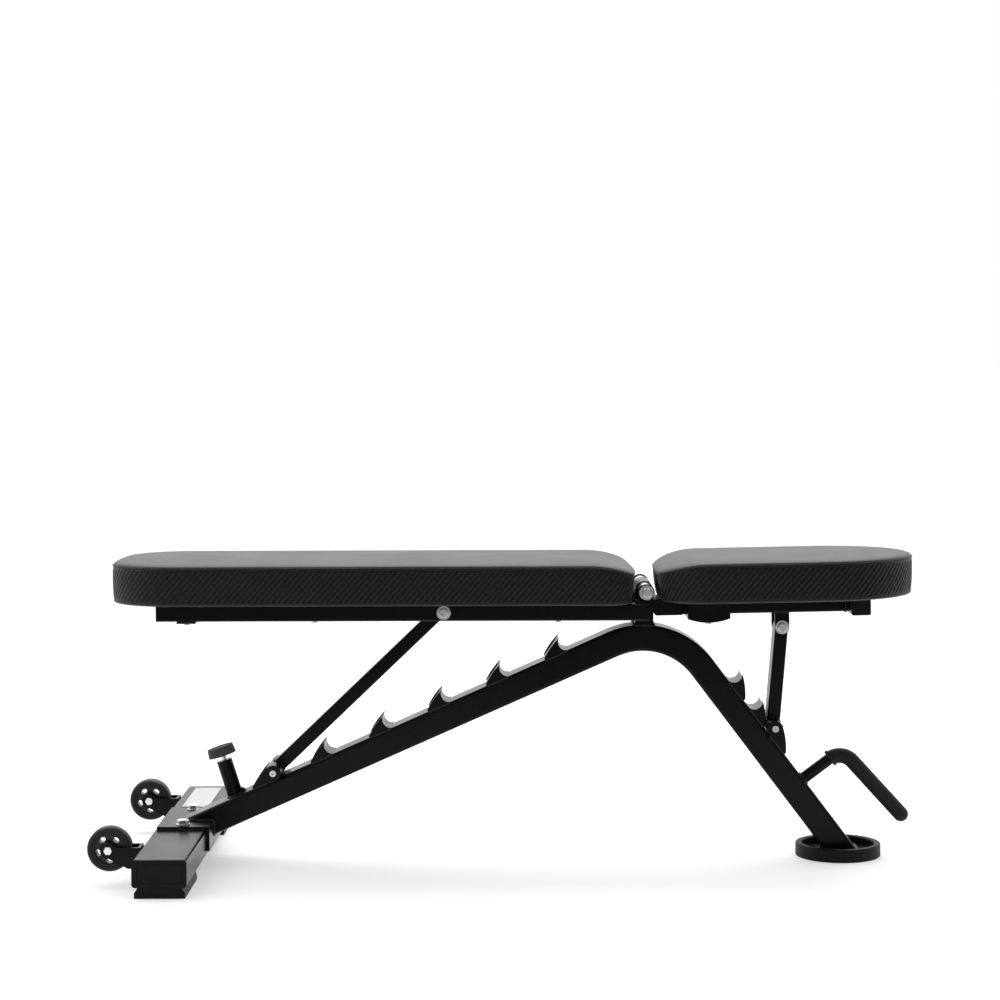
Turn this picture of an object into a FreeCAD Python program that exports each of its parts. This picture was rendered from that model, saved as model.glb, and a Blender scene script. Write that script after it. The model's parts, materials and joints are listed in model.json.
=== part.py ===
"""Adjustable weight bench with a ladder-hook backrest and seat.

Frame of the model: millimetres, +Z up, +X towards the seat end, +Y to the user's left when
lying down. The origin is on the floor, under the middle of the bench's outer box.
"""
import FreeCAD, Part
import math
import os
import re

from FreeCAD import Placement, Rotation, Vector

doc = FreeCAD.newDocument("weight_bench")

# ---------------------------------------------------------------- driving dimensions (mm, degrees)

DIMENSIONS = [
    # rear cross tube, its caps and feet
    ("rear_centre_x", -496.7), ("rear_width", 78.4), ("rear_height", 40), ("rear_length", 590),
    ("rear_wall", 3), ("rear_corner", 5), ("cap_thick", 3), ("cap_plug", 15),
    ("foot_height", 16), ("foot_width", 72.5), ("foot_length", 130), ("foot_bevel", 5),
    # main beam: one bent rectangular tube
    ("beam_width", 60), ("beam_height", 40), ("beam_wall", 3), ("beam_corner", 5),
    ("beam_slope", 23.8), ("leg_slope", 53.0), ("bend_radius", 113),
    ("vertex_x", 239.9), ("vertex_z", 365.75),
    # saddle bracket that bolts the beam to the cross tube
    ("saddle_thick", 5), ("saddle_length", 159), ("saddle_drop", 32), ("saddle_bolt_y", 62),
    # adjustment hooks
    ("hook_rise", 22.5), ("hook_base", 34), ("hook_throat", 13), ("hook_side", 5),
    ("back_hook_pitch", 97.56), ("back_hook_first", -280.2),
    ("seat_hook_pitch", 51.7), ("seat_hook_first", -13.7),
    # main hinge
    ("hinge_x", 205.5), ("hinge_z", 414.5), ("axle_radius", 6), ("running_gap", 0.08),
    ("boss_radius", 12.5), ("post_depth", 28), ("post_wall", 4), ("post_half_width", 29.7),
    ("spacer_radius", 10.5), ("axle_half_length", 94.5),
    # front foot
    ("front_foot_x", 505), ("ring_radius", 65), ("ring_height", 20), ("ring_wall", 10),
    ("ring_lip", 3), ("disc_thick", 6),
    # carrying handle
    ("handle_rod", 9), ("grip_radius", 11.6), ("handle_bend", 26),
    ("handle_vertex_x", 510.4), ("handle_vertex_z", 163.0), ("handle_droop", 47.7),
    ("handle_drop_length", 135), ("grip_start", 50),
    # bumper under the head end of the backrest
    ("bumper_x", -422), ("bumper_tilt", 17.3), ("bumper_post_radius", 12),
    ("bumper_post_length", 56.4), ("bumper_stud_radius", 5), ("bumper_gap", 8),
    ("bumper_height", 13.5), ("bumper_radius", 21.5),
    # transport wheels
    ("wheel_x", -582.4), ("wheel_z", 52.8), ("wheel_y", 197.2), ("wheel_radius", 32.7),
    ("wheel_width", 24), ("hub_radius", 24.2), ("wheel_axle", 4), ("fork_thick", 4), ("fork_gap", 1.5),
    # backrest and seat frames
    ("rail_bottom", 374), ("rail_height", 25), ("rail_width", 25), ("rail_wall", 2),
    ("back_rail_y", 92.5), ("back_rail_start", -524.5), ("back_rail_end", 207.5),
    ("back_pivot_x", -97), ("seat_tilt", 1.0), ("plug_head", 1.5), ("plug_tongue", 14),
    ("seat_rail_width", 60), ("seat_rail_start", 222), ("seat_rail_end", 511),
    ("seat_front_width", 29), ("seat_front_length", 180), ("ear_thick", 6),
    # pads
    ("pad_bottom", 400), ("pad_thick", 64.5), ("pad_width", 290), ("board_thick", 12),
    ("board_inset", 14), ("back_pad_start", -600), ("back_pad_end", 192),
    ("seat_pad_start", 222.5), ("seat_pad_end", 615.4), ("slide_gap", 0.4),
    ("head_corner", 100), ("head_round", 683), ("back_hinge_corner", 42), ("back_hinge_round", 1080),
    ("seat_hinge_corner", 75), ("seat_hinge_round", 1800), ("front_corner", 140), ("front_round", 160),
    ("hinge_fall", 24.5), ("hinge_fall_run", 74),
    # struts
    ("strut_height", 20), ("back_strut_width", 25), ("seat_strut_width", 40), ("strut_wall", 2),
    ("sleeve_radius", 12), ("sleeve_half", 52), ("rest_gap", 0.4), ("pin_radius", 5),
    ("pin_half", 55), ("top_sleeve_radius", 10), ("pin_ahead_back", 7.2), ("pin_ahead_seat", 9.5),
    ("seat_pivot_x", 415.6), ("seat_pivot_z", 354.8), ("clevis_thick", 4.5),
]

sizes = doc.addObject("Spreadsheet::Sheet", "Sizes")
for row, (alias, value) in enumerate(DIMENSIONS, start=1):
    sizes.set("A%d" % row, alias)
    sizes.set("B%d" % row, str(value))
    sizes.setAlias("B%d" % row, alias)
doc.recompute()
ALIASES = [alias for alias, _ in DIMENSIONS]


def size(alias):
    """The number held in the sheet under this alias."""
    return float(sizes.get(alias))


def bind(obj, prop, formula):
    """Bind a property to a formula written with the sheet's aliases."""
    def with_sheet(match):
        word = match.group(0)
        return "Sizes." + word if word in ALIASES else word
    obj.setExpression(prop, re.sub(r"[a-z][a-z_]*", with_sheet, formula))


# ---------------------------------------------------------------- directions of the bent beam

def turned(angle):
    """Unit vector in the side plane, angle in degrees above +X."""
    return Vector(math.cos(math.radians(angle)), 0, math.sin(math.radians(angle)))


BEAM_DIR = turned(size("beam_slope"))
BEAM_UP = turned(size("beam_slope") + 90)
LEG_DIR = turned(-size("leg_slope"))
LEG_OUT = turned(90 - size("leg_slope"))
VERTEX = Vector(size("vertex_x"), 0, size("vertex_z"))
HALF_BEAM = size("beam_height") / 2
HINGE = Vector(size("hinge_x"), 0, size("hinge_z"))
SEAT_TILT = Placement(Vector(), Rotation(Vector(0, -1, 0), size("seat_tilt")), HINGE)


def on_beam(along, above):
    """A point over the beam's top face: along from the foot of the origin's normal, above the face."""
    return BEAM_DIR * along + BEAM_UP * (VERTEX.dot(BEAM_UP) + HALF_BEAM + above)


def on_leg(along, above):
    """A point over the front leg's outer face."""
    return LEG_DIR * along + LEG_OUT * (VERTEX.dot(LEG_OUT) + HALF_BEAM + above)


# ---------------------------------------------------------------- small builders

def lines(points, closed=True):
    """Straight sides through the given (x, y) points."""
    ends = points[1:] + points[:1] if closed else points[1:]
    return [Part.LineSegment(Vector(*a, 0), Vector(*b, 0)) for a, b in zip(points, ends)]


def arc_through(a, b, c):
    """Circular side from a to c passing through b."""
    return Part.Arc(Vector(*a, 0), Vector(*b, 0), Vector(*c, 0))


def rounded_outline(x0, x1, half_width, radius0, radius1):
    """Rectangle from x0 to x1 whose two ends have their own corner radii."""
    bulge0, bulge1 = radius0 * (1 - math.sqrt(0.5)), radius1 * (1 - math.sqrt(0.5))
    w = half_width
    return [
        Part.LineSegment(Vector(x0 + radius0, -w, 0), Vector(x1 - radius1, -w, 0)),
        arc_through((x1 - radius1, -w), (x1 - bulge1, -w + bulge1), (x1, -w + radius1)),
        Part.LineSegment(Vector(x1, -w + radius1, 0), Vector(x1, w - radius1, 0)),
        arc_through((x1, w - radius1), (x1 - bulge1, w - bulge1), (x1 - radius1, w)),
        Part.LineSegment(Vector(x1 - radius1, w, 0), Vector(x0 + radius0, w, 0)),
        arc_through((x0 + radius0, w), (x0 + bulge0, w - bulge0), (x0, w - radius0)),
        Part.LineSegment(Vector(x0, w - radius0, 0), Vector(x0, -w + radius0, 0)),
        arc_through((x0, -w + radius0), (x0 + bulge0, -w + bulge0), (x0 + radius0, -w)),
    ]


def section(width, height, radius):
    """Rounded rectangle centred on the origin."""
    return rounded_outline(-width / 2, width / 2, height / 2, radius, radius)


def circle(x, y, radius):
    return Part.Circle(Vector(x, y, 0), Vector(0, 0, 1), radius)


def add_sketch(body, name, geometry, plane):
    """A sketch on one of the body's own origin planes."""
    sketch = body.newObject("Sketcher::SketchObject", name)
    support = [f for f in body.Origin.OriginFeatures if f.Role == plane][0]
    sketch.AttachmentSupport = (support, "")
    sketch.MapMode = "FlatFace"
    sketch.addGeometry(geometry, False)
    return sketch


def padded(label, geometry, length, plane="XZ_Plane", placement=None, centred=True, reverse=False):
    """A body made of one pad. Side outlines (XZ) are padded both ways about the middle plane."""
    body = doc.addObject("PartDesign::Body", label)
    body.Label = label
    pad = body.newObject("PartDesign::Pad", label + "_pad")
    pad.Profile = add_sketch(body, label + "_outline", geometry, plane)
    bind(pad, "Length", length)
    pad.Midplane = centred
    pad.Reversed = reverse
    body.Tip = pad
    if placement is not None:
        body.Placement = placement
    return body


def pocketed(body, geometry, length, plane="XZ_Plane", centred=True, reverse=False):
    """Cut one outline out of a body."""
    count = len([f for f in body.Group if f.TypeId == "PartDesign::Pocket"])
    name = "%s_cut%d" % (body.Label, count)
    doc.recompute()
    pocket = body.newObject("PartDesign::Pocket", name)
    pocket.Profile = add_sketch(body, name + "_outline", geometry, plane)
    bind(pocket, "Length", length)
    pocket.Midplane = centred
    pocket.Reversed = reverse
    body.Tip = pocket
    doc.recompute()
    before = pocket.BaseFeature.Shape.Volume
    assert pocket.Shape.Volume < before - 1, "%s cuts nothing" % name
    return body


def box(label, length, width, height, x, y, z, placement=None):
    """Part::Box whose sides and corner are formulas."""
    part = doc.addObject("Part::Box", label)
    for prop, formula in (("Length", length), ("Width", width), ("Height", height)):
        bind(part, prop, formula)
    if placement is None:
        for axis, formula in zip("xyz", (x, y, z)):
            bind(part, "Placement.Base." + axis, formula)
    else:
        part.Placement = placement
    return part


def cross_cylinder(label, radius, half_length, x, z, y="0"):
    """Cylinder along Y, centred at y."""
    part = doc.addObject("Part::Cylinder", label)
    bind(part, "Radius", radius)
    bind(part, "Height", "2 * (%s)" % half_length)
    part.Placement = Placement(Vector(), Rotation(Vector(1, 0, 0), -90))
    bind(part, "Placement.Base.x", x)
    bind(part, "Placement.Base.y", "%s - (%s)" % (y, half_length))
    bind(part, "Placement.Base.z", z)
    return part


def shaft(label, radius, height, base, direction):
    """Cylinder from base along direction."""
    part = doc.addObject("Part::Cylinder", label)
    bind(part, "Radius", radius)
    bind(part, "Height", height)
    part.Placement = Placement(base, Rotation(Vector(0, 0, 1), direction))
    return part


def cut(label, base, tool):
    part = doc.addObject("Part::Cut", label)
    part.Base, part.Tool = base, tool
    part.Label = label
    return part


def fused(label, shapes):
    part = doc.addObject("Part::MultiFuse", label)
    part.Shapes = shapes
    part.Label = label
    return part


def group(label, shapes):
    """Several equal loose pieces kept as one node."""
    part = doc.addObject("Part::Compound", label)
    part.Links = shapes
    part.Label = label
    return part


def swept(label, profile, path):
    """Solid swept along a path of lines and tangent arcs."""
    section_wire = doc.addObject("Part::Feature", label + "_section")
    section_wire.Shape = profile
    spine = doc.addObject("Part::Feature", label + "_path")
    spine.Shape = path
    sweep = doc.addObject("Part::Sweep", label)
    sweep.Sections = [section_wire]
    sweep.Spine = (spine, ["Edge%d" % (i + 1) for i in range(len(path.Edges))])
    sweep.Solid = True
    sweep.Frenet = False
    sweep.Label = label
    return sweep


def bent_path(start, vertex, end, radius):
    """Wire from start to end with one tangent arc of the given radius at the vertex."""
    into, out = (vertex - start).normalize(), (end - vertex).normalize()
    turn = into.getAngle(out)
    reach = radius * math.tan(turn / 2)
    first, last = vertex - into * reach, vertex + out * reach
    inward = (out - into).normalize()
    middle = vertex + inward * (radius / math.cos(turn / 2) - radius)
    arc = Part.Arc(first, middle, last).toShape()
    return Part.Wire([Part.makeLine(start, first), arc, Part.makeLine(last, end)])


def hexagon(across_flats):
    radius = across_flats / math.sqrt(3)
    corners = [(radius * math.cos(math.radians(60 * k)), radius * math.sin(math.radians(60 * k)))
               for k in range(6)]
    return lines(corners)


def hex_head(label, across_flats, height, base, direction):
    """Hexagonal bolt head standing on base, its corners turned down to a 30 degree cone."""
    place = Placement(base, Rotation(Vector(0, 0, 1), direction))
    prism = padded(label + "_prism", hexagon(across_flats), str(height), "XY_Plane", place, centred=False)
    turning = doc.addObject("Part::Cone", label + "_turning")
    bind(turning, "Radius2", str(0.475 * across_flats))
    bind(turning, "Radius1", str(0.475 * across_flats + height * math.sqrt(3)))
    bind(turning, "Height", str(height))
    turning.Placement = place
    head = doc.addObject("Part::MultiCommon", label)
    head.Shapes = [prism, turning]
    head.Label = label
    return head


def along_y(y):
    """Placement that shifts a middle-plane body to its own place across the bench."""
    return Placement(Vector(0, y, 0), Rotation())


SIDES = (("left", 1), ("right", -1))

# ---------------------------------------------------------------- rear cross tube

tube_centre = Vector(size("rear_centre_x"), 0, size("foot_height") + size("rear_height") / 2)
across = Rotation(Vector(1, 0, 0), 90)
rear_tube = padded("rear_tube", section(size("rear_width"), size("rear_height"), size("rear_corner")),
                   "rear_length", "XY_Plane", Placement(tube_centre, across))
wall = size("rear_wall")
pocketed(rear_tube, section(size("rear_width") - 2 * wall, size("rear_height") - 2 * wall, 2),
         "rear_length + 2", "XY_Plane")

caps, feet = [], []
for side, sign in SIDES:
    end = tube_centre + Vector(0, sign * (size("rear_length") / 2 + size("cap_thick") / 2), 0)
    face = padded("rear_cap_%s_face" % side, section(size("rear_width"), size("rear_height"), 5),
                  "cap_thick", "XY_Plane", Placement(end, across))
    plug_centre = tube_centre + Vector(0, sign * (size("rear_length") - size("cap_plug")) / 2, 0)
    plug = padded("rear_cap_%s_plug" % side,
                  section(size("rear_width") - 2 * wall - 0.4, size("rear_height") - 2 * wall - 0.4, 2),
                  "cap_plug", "XY_Plane", Placement(plug_centre, across))
    caps.append(fused("rear_cap_" + side, [face, plug]))

    half, bevel, top = size("foot_width") / 2, size("foot_bevel"), size("foot_height")
    foot_outline = lines([(-half, 0), (half, 0), (half, top / 2), (half - bevel, top),
                          (bevel - half, top), (-half, top / 2)])
    foot_y = sign * (size("rear_length") - size("foot_length")) / 2
    feet.append(padded("rear_foot_" + side, foot_outline, "foot_length", "XZ_Plane",
                       Placement(Vector(size("rear_centre_x"), foot_y, 0), Rotation())))
group("rear_caps", caps)
group("rear_feet", feet)

# saddle bracket: bent plate over the top and front of the tube
tube_top = size("foot_height") + size("rear_height")
tube_front = size("rear_centre_x") + size("rear_width") / 2
thick = size("saddle_thick")
saddle_back = tube_front - size("rear_width") + 4
saddle_outline = lines([(saddle_back, tube_top), (tube_front, tube_top),
                        (tube_front, tube_top - size("saddle_drop")),
                        (tube_front + thick, tube_top - size("saddle_drop")),
                        (tube_front + thick, tube_top + thick), (saddle_back, tube_top + thick)])
padded("saddle_bracket", saddle_outline, "saddle_length")

bolt_pieces = []
for side, sign in SIDES:
    seat_point = Vector(size("rear_centre_x") + 2, sign * size("saddle_bolt_y"), tube_top + thick)
    washer = shaft("saddle_washer_" + side, "10.5", "1.6", seat_point, Vector(0, 0, 1))
    head = hex_head("saddle_head_" + side, 16, 6.4, seat_point + Vector(0, 0, 1.6), Vector(0, 0, 1))
    bolt_pieces.append(fused("saddle_bolt_" + side, [washer, head]))
group("saddle_bolts", bolt_pieces)

plate_x, plate_y = "(rear_centre_x - 23)", "(rear_length / 2 - 187)"
plate_pieces = [box("plate_sheet", "42", "170", "1", plate_x, plate_y, "foot_height + rear_height")]
for corner, (dx, dy) in enumerate(((5, 5), (37, 5), (37, 165), (5, 165))):
    rivet = doc.addObject("Part::Cone", "plate_rivet_%d" % corner)
    for prop, formula in (("Radius1", "2.4"), ("Radius2", "1.4"), ("Height", "2")):
        bind(rivet, prop, formula)
    bind(rivet, "Placement.Base.x", "%s + %d" % (plate_x, dx))
    bind(rivet, "Placement.Base.y", "%s + %d" % (plate_y, dy))
    bind(rivet, "Placement.Base.z", "foot_height + rear_height")
    plate_pieces.append(rivet)
fused("data_plate", plate_pieces)

# ---------------------------------------------------------------- main beam

beam_start = on_beam(-440, -HALF_BEAM)
leg_end = on_leg(330, -HALF_BEAM)
beam_path = bent_path(beam_start, VERTEX, leg_end, size("bend_radius"))
frame_at_start = Placement(beam_start, Rotation(BEAM_UP, Vector(0, 1, 0), BEAM_DIR, "ZXY"))


def beam_section(shrink, corner):
    outline = section(size("beam_height") - 2 * shrink, size("beam_width") - 2 * shrink, corner)
    wire = Part.Wire([edge.toShape() for edge in outline])
    wire.Placement = frame_at_start
    return wire


beam_outer = swept("beam_outer", beam_section(0, size("beam_corner")), beam_path)
beam_inner = swept("beam_inner", beam_section(size("beam_wall"), 2), beam_path)
beam_tube = cut("beam_tube", beam_outer, beam_inner)
notch = box("beam_notch", "200", "80", "200", "rear_centre_x + rear_width / 2 + saddle_thick - 200",
            "-40", "foot_height + rear_height + saddle_thick - 200")
floor_cut = box("leg_floor_cut", "200", "80", "100", "front_foot_x - 100", "-40",
                "ring_lip + disc_thick - 100")
end_cut = box("beam_end_cut", "100", "80", "200", "rear_centre_x - 102", "-40", "0")
cut("main_beam", beam_tube, fused("beam_trims", [notch, floor_cut, end_cut]))

# ---------------------------------------------------------------- adjustment hooks

def hook_outline(inset, mirrored):
    """Shark-fin side outline: s along the face, rise away from it, throat open towards +s."""
    rise, base, throat = size("hook_rise") - inset, size("hook_base"), size("hook_throat")
    centre_s, centre_up = size("pin_ahead_back"), size("sleeve_radius") + size("rest_gap")
    tip_s = centre_s - math.sqrt(throat ** 2 - (rise - centre_up) ** 2)
    toe_s = centre_s - math.sqrt(throat ** 2 - centre_up ** 2)
    flip = -1 if mirrored else 1

    def at(s, up):
        return (flip * s, up)

    heel, shoulder = at(inset - base, 0), at(inset - base, 3)
    back = arc_through(shoulder, at(inset - base * 0.5, 15 - inset), at(tip_s - inset * 0.4, rise))
    inner = arc_through(at(tip_s, rise), at(centre_s - throat, centre_up), at(toe_s, 0))
    sides = [Part.LineSegment(Vector(*heel, 0), Vector(*shoulder, 0)), back]
    if inset:
        sides += [Part.LineSegment(back.EndPoint, inner.StartPoint)]
    return sides + [inner, Part.LineSegment(Vector(*at(toe_s, 0), 0), Vector(*heel, 0))]


def hook(label, foot, direction, mirrored=False):
    """One welded hook: two cheek plates with a web set a little lower between them."""
    # the pad's sketch stands in the side plane, so the hook is turned about the cross axis
    turn = Placement(foot, Rotation(Vector(0, -1, 0), direction))
    web = padded(label + "_web", hook_outline(1.5, mirrored), "beam_width - 2 * hook_side", "XZ_Plane", turn)
    cheeks = []
    for side, sign in SIDES:
        shift = Vector(0, sign * (size("beam_width") - size("hook_side")) / 2, 0)
        cheeks.append(padded("%s_cheek_%s" % (label, side), hook_outline(0, mirrored), "hook_side",
                             "XZ_Plane", Placement(foot + shift, turn.Rotation)))
    return fused(label, [web] + cheeks)


for number in range(6):
    station = size("back_hook_first") + number * size("back_hook_pitch")
    hook("back_hook_%d" % (number + 1), on_beam(station, 0), size("beam_slope"))
for number in range(3):
    station = size("seat_hook_first") + number * size("seat_hook_pitch")
    hook("seat_hook_%d" % (number + 1), on_leg(station, 0), -size("leg_slope"), mirrored=True)

# ---------------------------------------------------------------- hinge post and axle

bend_centre = VERTEX + (LEG_DIR - BEAM_DIR).normalize() * (
    size("bend_radius") / math.cos(BEAM_DIR.getAngle(LEG_DIR) / 2))
post_block = box("post_block", "post_depth", "2 * post_half_width", "hinge_z - 330",
                 "hinge_x - post_depth / 2", "-post_half_width", "330")
post_hollow = box("post_hollow", "post_depth - 2 * post_wall", "2 * (post_half_width - post_wall)", "80",
                  "hinge_x - post_depth / 2 + post_wall", "-post_half_width + post_wall", "320")
post_boss = cross_cylinder("post_boss", "boss_radius", "post_half_width", "hinge_x", "hinge_z")
beam_round = cross_cylinder("beam_round", "bend_radius + beam_height / 2", "40",
                            str(bend_centre.x), str(bend_centre.z))
post_bore = cross_cylinder("post_bore", "axle_radius + running_gap", "40", "hinge_x", "hinge_z")
post_body = fused("post_body", [cut("post_tube", post_block, post_hollow), post_boss])
cut("hinge_post", post_body, fused("post_trims", [beam_round, post_bore]))

axle_bar = cross_cylinder("axle_bar", "axle_radius", "axle_half_length", "hinge_x", "hinge_z")
axle_heads = []
for side, sign in SIDES:
    face = HINGE + Vector(0, sign * size("axle_half_length"), 0)
    axle_heads.append(hex_head("axle_head_" + side, 13, 6, face, Vector(0, sign, 0)))
thread_end = HINGE - Vector(0, size("axle_half_length") + 6, 0)
axle_tip = shaft("axle_tip", "axle_radius - 2", "2.5", thread_end, Vector(0, -1, 0))
fused("hinge_axle", [axle_bar, axle_tip] + axle_heads)


def ring(label, outer, inner, half_length, x, z, y):
    """Tube or washer along Y."""
    return cut(label, cross_cylinder(label + "_outer", outer, half_length, x, z, y),
               cross_cylinder(label + "_inner", inner, half_length + " + 1", x, z, y))


spacer_inner, spacer_outer = size("beam_width") / 2 + size("ear_thick") + 0.3, 85.7
axle_rings = []
for side, sign in SIDES:
    axle_rings.append(ring("hinge_spacer_" + side, "spacer_radius", "axle_radius",
                           str((spacer_outer - spacer_inner) / 2), "hinge_x", "hinge_z",
                           str(sign * (spacer_outer + spacer_inner) / 2)))
    axle_rings.append(ring("hinge_washer_" + side, "11", "axle_radius", "1.2", "hinge_x", "hinge_z",
                           "%d * (axle_half_length - 1.2)" % sign))
group("hinge_rings", axle_rings)

# ---------------------------------------------------------------- front foot

disc = shaft("foot_disc", "ring_radius - ring_wall - 0.2", "disc_thick",
             Vector(size("front_foot_x"), 0, size("ring_lip")), Vector(0, 0, 1))
ring_base = Vector(size("front_foot_x"), 0, 0)
ring_body = doc.addObject("PartDesign::Body", "foot_ring")
ring_body.Label = "foot_ring"
outer, inner, lip = size("ring_radius"), size("ring_radius") - size("ring_wall"), size("ring_lip")
ring_section = lines([(inner - 7, 0), (outer - 1.5, 0), (outer, 1.5), (outer, size("ring_height") - 1.5),
                      (outer - 1.5, size("ring_height")), (inner + 1.5, size("ring_height")),
                      (inner, size("ring_height") - 1.5), (inner, lip), (inner - 7, lip)])
ring_turn = ring_body.newObject("PartDesign::Revolution", "foot_ring_turn")
ring_turn.Profile = add_sketch(ring_body, "foot_ring_section", ring_section, "XZ_Plane")
ring_turn.ReferenceAxis = (ring_turn.Profile[0], ["V_Axis"])
ring_turn.Angle = 360
ring_body.Tip = ring_turn
ring_body.Placement = Placement(ring_base, Rotation())

# ---------------------------------------------------------------- carrying handle

handle_vertex = Vector(size("handle_vertex_x"), 0, size("handle_vertex_z"))
stem_length = handle_vertex.dot(LEG_OUT) - VERTEX.dot(LEG_OUT) - HALF_BEAM
stem_root = handle_vertex - LEG_OUT * stem_length
grip_end = handle_vertex + turned(-size("handle_droop")) * size("handle_drop_length")


def round_section(radius, centre, normal):
    return Part.Wire([Part.makeCircle(radius, centre, normal)])


rod_end = handle_vertex + turned(-size("handle_droop")) * (size("handle_drop_length") - 4)
rod_path = bent_path(stem_root, handle_vertex, rod_end, size("handle_bend"))
swept("carry_handle", round_section(size("handle_rod"), stem_root, LEG_OUT), rod_path)

grip_root = stem_root + LEG_OUT * size("grip_start")
grip_path = bent_path(grip_root, handle_vertex, grip_end, size("handle_bend"))
grip_tube = swept("grip_tube", round_section(size("grip_radius"), grip_root, LEG_OUT), grip_path)
grip_nose = doc.addObject("Part::Sphere", "grip_nose")
bind(grip_nose, "Radius", "grip_radius")
grip_nose.Placement = Placement(grip_end, Rotation())
grip_collar = shaft("grip_collar", "grip_radius + 1.6", "5", grip_root, LEG_OUT)
grip_solid = fused("grip_solid", [grip_tube, grip_nose, grip_collar])
grip_bore = swept("grip_bore", round_section(size("handle_rod"), grip_root, LEG_OUT),
                  bent_path(grip_root, handle_vertex, rod_end, size("handle_bend")))
cut("handle_grip", grip_solid, grip_bore)

# ---------------------------------------------------------------- bumper

bumper_axis = turned(90 + size("bumper_tilt"))
bumper_foot = Vector(size("bumper_x"), 0, on_beam(0, 0).z + (size("bumper_x") - on_beam(0, 0).x)
                     * math.tan(math.radians(size("beam_slope"))))
post_long = shaft("bumper_post_long", "bumper_post_radius", "bumper_post_length + 12",
                  bumper_foot - bumper_axis * 12, bumper_axis)
gusset_foot = on_beam(bumper_foot.dot(BEAM_DIR), 0)
gusset = padded("bumper_gusset", lines([(6, -2), (20, -2), (17, 4), (8, 12), (6, 12)]), "8", "XZ_Plane",
                Placement(gusset_foot, Rotation(Vector(0, -1, 0), size("beam_slope"))))
below_beam = box("below_beam_face", "80", "60", "60", "0", "0", "0",
                 Placement(gusset_foot - BEAM_DIR * 40 - BEAM_UP * 60 - Vector(0, 30, 0),
                           Rotation(Vector(0, -1, 0), size("beam_slope"))))
post_drill = shaft("bumper_post_bore", "bumper_stud_radius + running_gap", "100",
                   bumper_foot - bumper_axis * 20, bumper_axis)
cut("bumper_post", fused("bumper_post_raw", [post_long, gusset]),
    fused("bumper_post_trims", [below_beam, post_drill]))

stud_root = bumper_foot + bumper_axis * (size("bumper_post_length") - 40)
shaft("bumper_stud", "bumper_stud_radius", "40 + bumper_gap + 4", stud_root, bumper_axis)
bumper_cone = doc.addObject("Part::Cone", "bumper_cone")
bind(bumper_cone, "Radius1", "bumper_radius")
bind(bumper_cone, "Radius2", "bumper_radius - 1.5")
bind(bumper_cone, "Height", "bumper_height")
head_base = bumper_foot + bumper_axis * (size("bumper_post_length") + size("bumper_gap"))
bumper_cone.Placement = Placement(head_base, Rotation(Vector(0, 0, 1), bumper_axis))
stud_seat = shaft("bumper_stud_seat", "bumper_stud_radius", "4", head_base, bumper_axis)
cut("bumper_head", bumper_cone, stud_seat)

# ---------------------------------------------------------------- transport wheels

def wheel_bracket(side, sign):
    """Fork of two tongue plates on a web against the rear face of the cross tube."""
    tube_back = size("rear_centre_x") - size("rear_width") / 2
    ax, az, nose = size("wheel_x"), size("wheel_z"), 12
    root = tube_back - size("fork_thick")
    low, high = size("foot_height") + 10, az + 4
    outline = [
        Part.LineSegment(Vector(root, low, 0), Vector(root, high, 0)),
        Part.LineSegment(Vector(root, high, 0), Vector(ax + nose, high, 0)),
        Part.LineSegment(Vector(ax + nose, high, 0), Vector(ax, az + nose, 0)),
        arc_through((ax, az + nose), (ax - nose, az), (ax, az - nose)),
        Part.LineSegment(Vector(ax, az - nose, 0), Vector(root - 14, low, 0)),
        Part.LineSegment(Vector(root - 14, low, 0), Vector(root, low, 0)),
    ]
    half_gap = size("wheel_width") / 2 + size("fork_gap")
    offset = half_gap + size("fork_thick") / 2
    plates = []
    for name, shift in (("near", -offset), ("far", offset)):
        plates.append(padded("fork_%s_%s" % (side, name), outline, "fork_thick", "XZ_Plane",
                             along_y(sign * size("wheel_y") + shift)))
    width = 2 * (half_gap + size("fork_thick"))
    web = box("fork_%s_web" % side, "fork_thick", str(width), str(high - low),
              str(root), str(sign * size("wheel_y") - width / 2), str(low))
    bore = cross_cylinder("fork_%s_bore" % side, "wheel_axle", "40", "wheel_x", "wheel_z",
                          "%d * wheel_y" % sign)
    return cut("wheel_bracket_" + side, fused("fork_%s_raw" % side, plates + [web]), bore)


def wheel_hub(side, sign):
    """Spoked hub: dished faces and five oval windows round the boss."""
    hub = padded("wheel_hub_" + side, [circle(0, 0, size("hub_radius")), circle(0, 0, 4.08)],
                 "wheel_width - 2", "XY_Plane",
                 Placement(Vector(size("wheel_x"), sign * size("wheel_y"), size("wheel_z")), across))
    windows = []
    for k in range(5):
        angle = math.radians(72 * k - 90)
        centre = Vector(16.8 * math.cos(angle), 16.8 * math.sin(angle), 0)
        tangent = Vector(-math.sin(angle), math.cos(angle), 0)
        windows.append(Part.Ellipse(centre + tangent * 5.2, centre + Vector(tangent.y, -tangent.x, 0) * 3.6,
                                    centre))
    pocketed(hub, windows, "wheel_width", "XY_Plane")
    groove = "(wheel_width - 2) / 2 - 3"
    dish = [circle(0, 0, size("hub_radius") - 2.5), circle(0, 0, 8)]
    for label, sense in (("front", 1), ("back", -1)):
        doc.recompute()
        pocket = hub.newObject("PartDesign::Pocket", "hub_%s_dish_%s" % (side, label))
        sketch = add_sketch(hub, "hub_%s_dish_%s_outline" % (side, label), dish, "XY_Plane")
        sketch.AttachmentOffset = Placement(Vector(0, 0, sense * (size("wheel_width") / 2 - 4)), Rotation())
        pocket.Profile = sketch
        bind(pocket, "Length", "5")
        pocket.Reversed = sense > 0
        hub.Tip = pocket
        doc.recompute()
        assert pocket.Shape.Volume < pocket.BaseFeature.Shape.Volume - 1
    return hub


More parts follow.
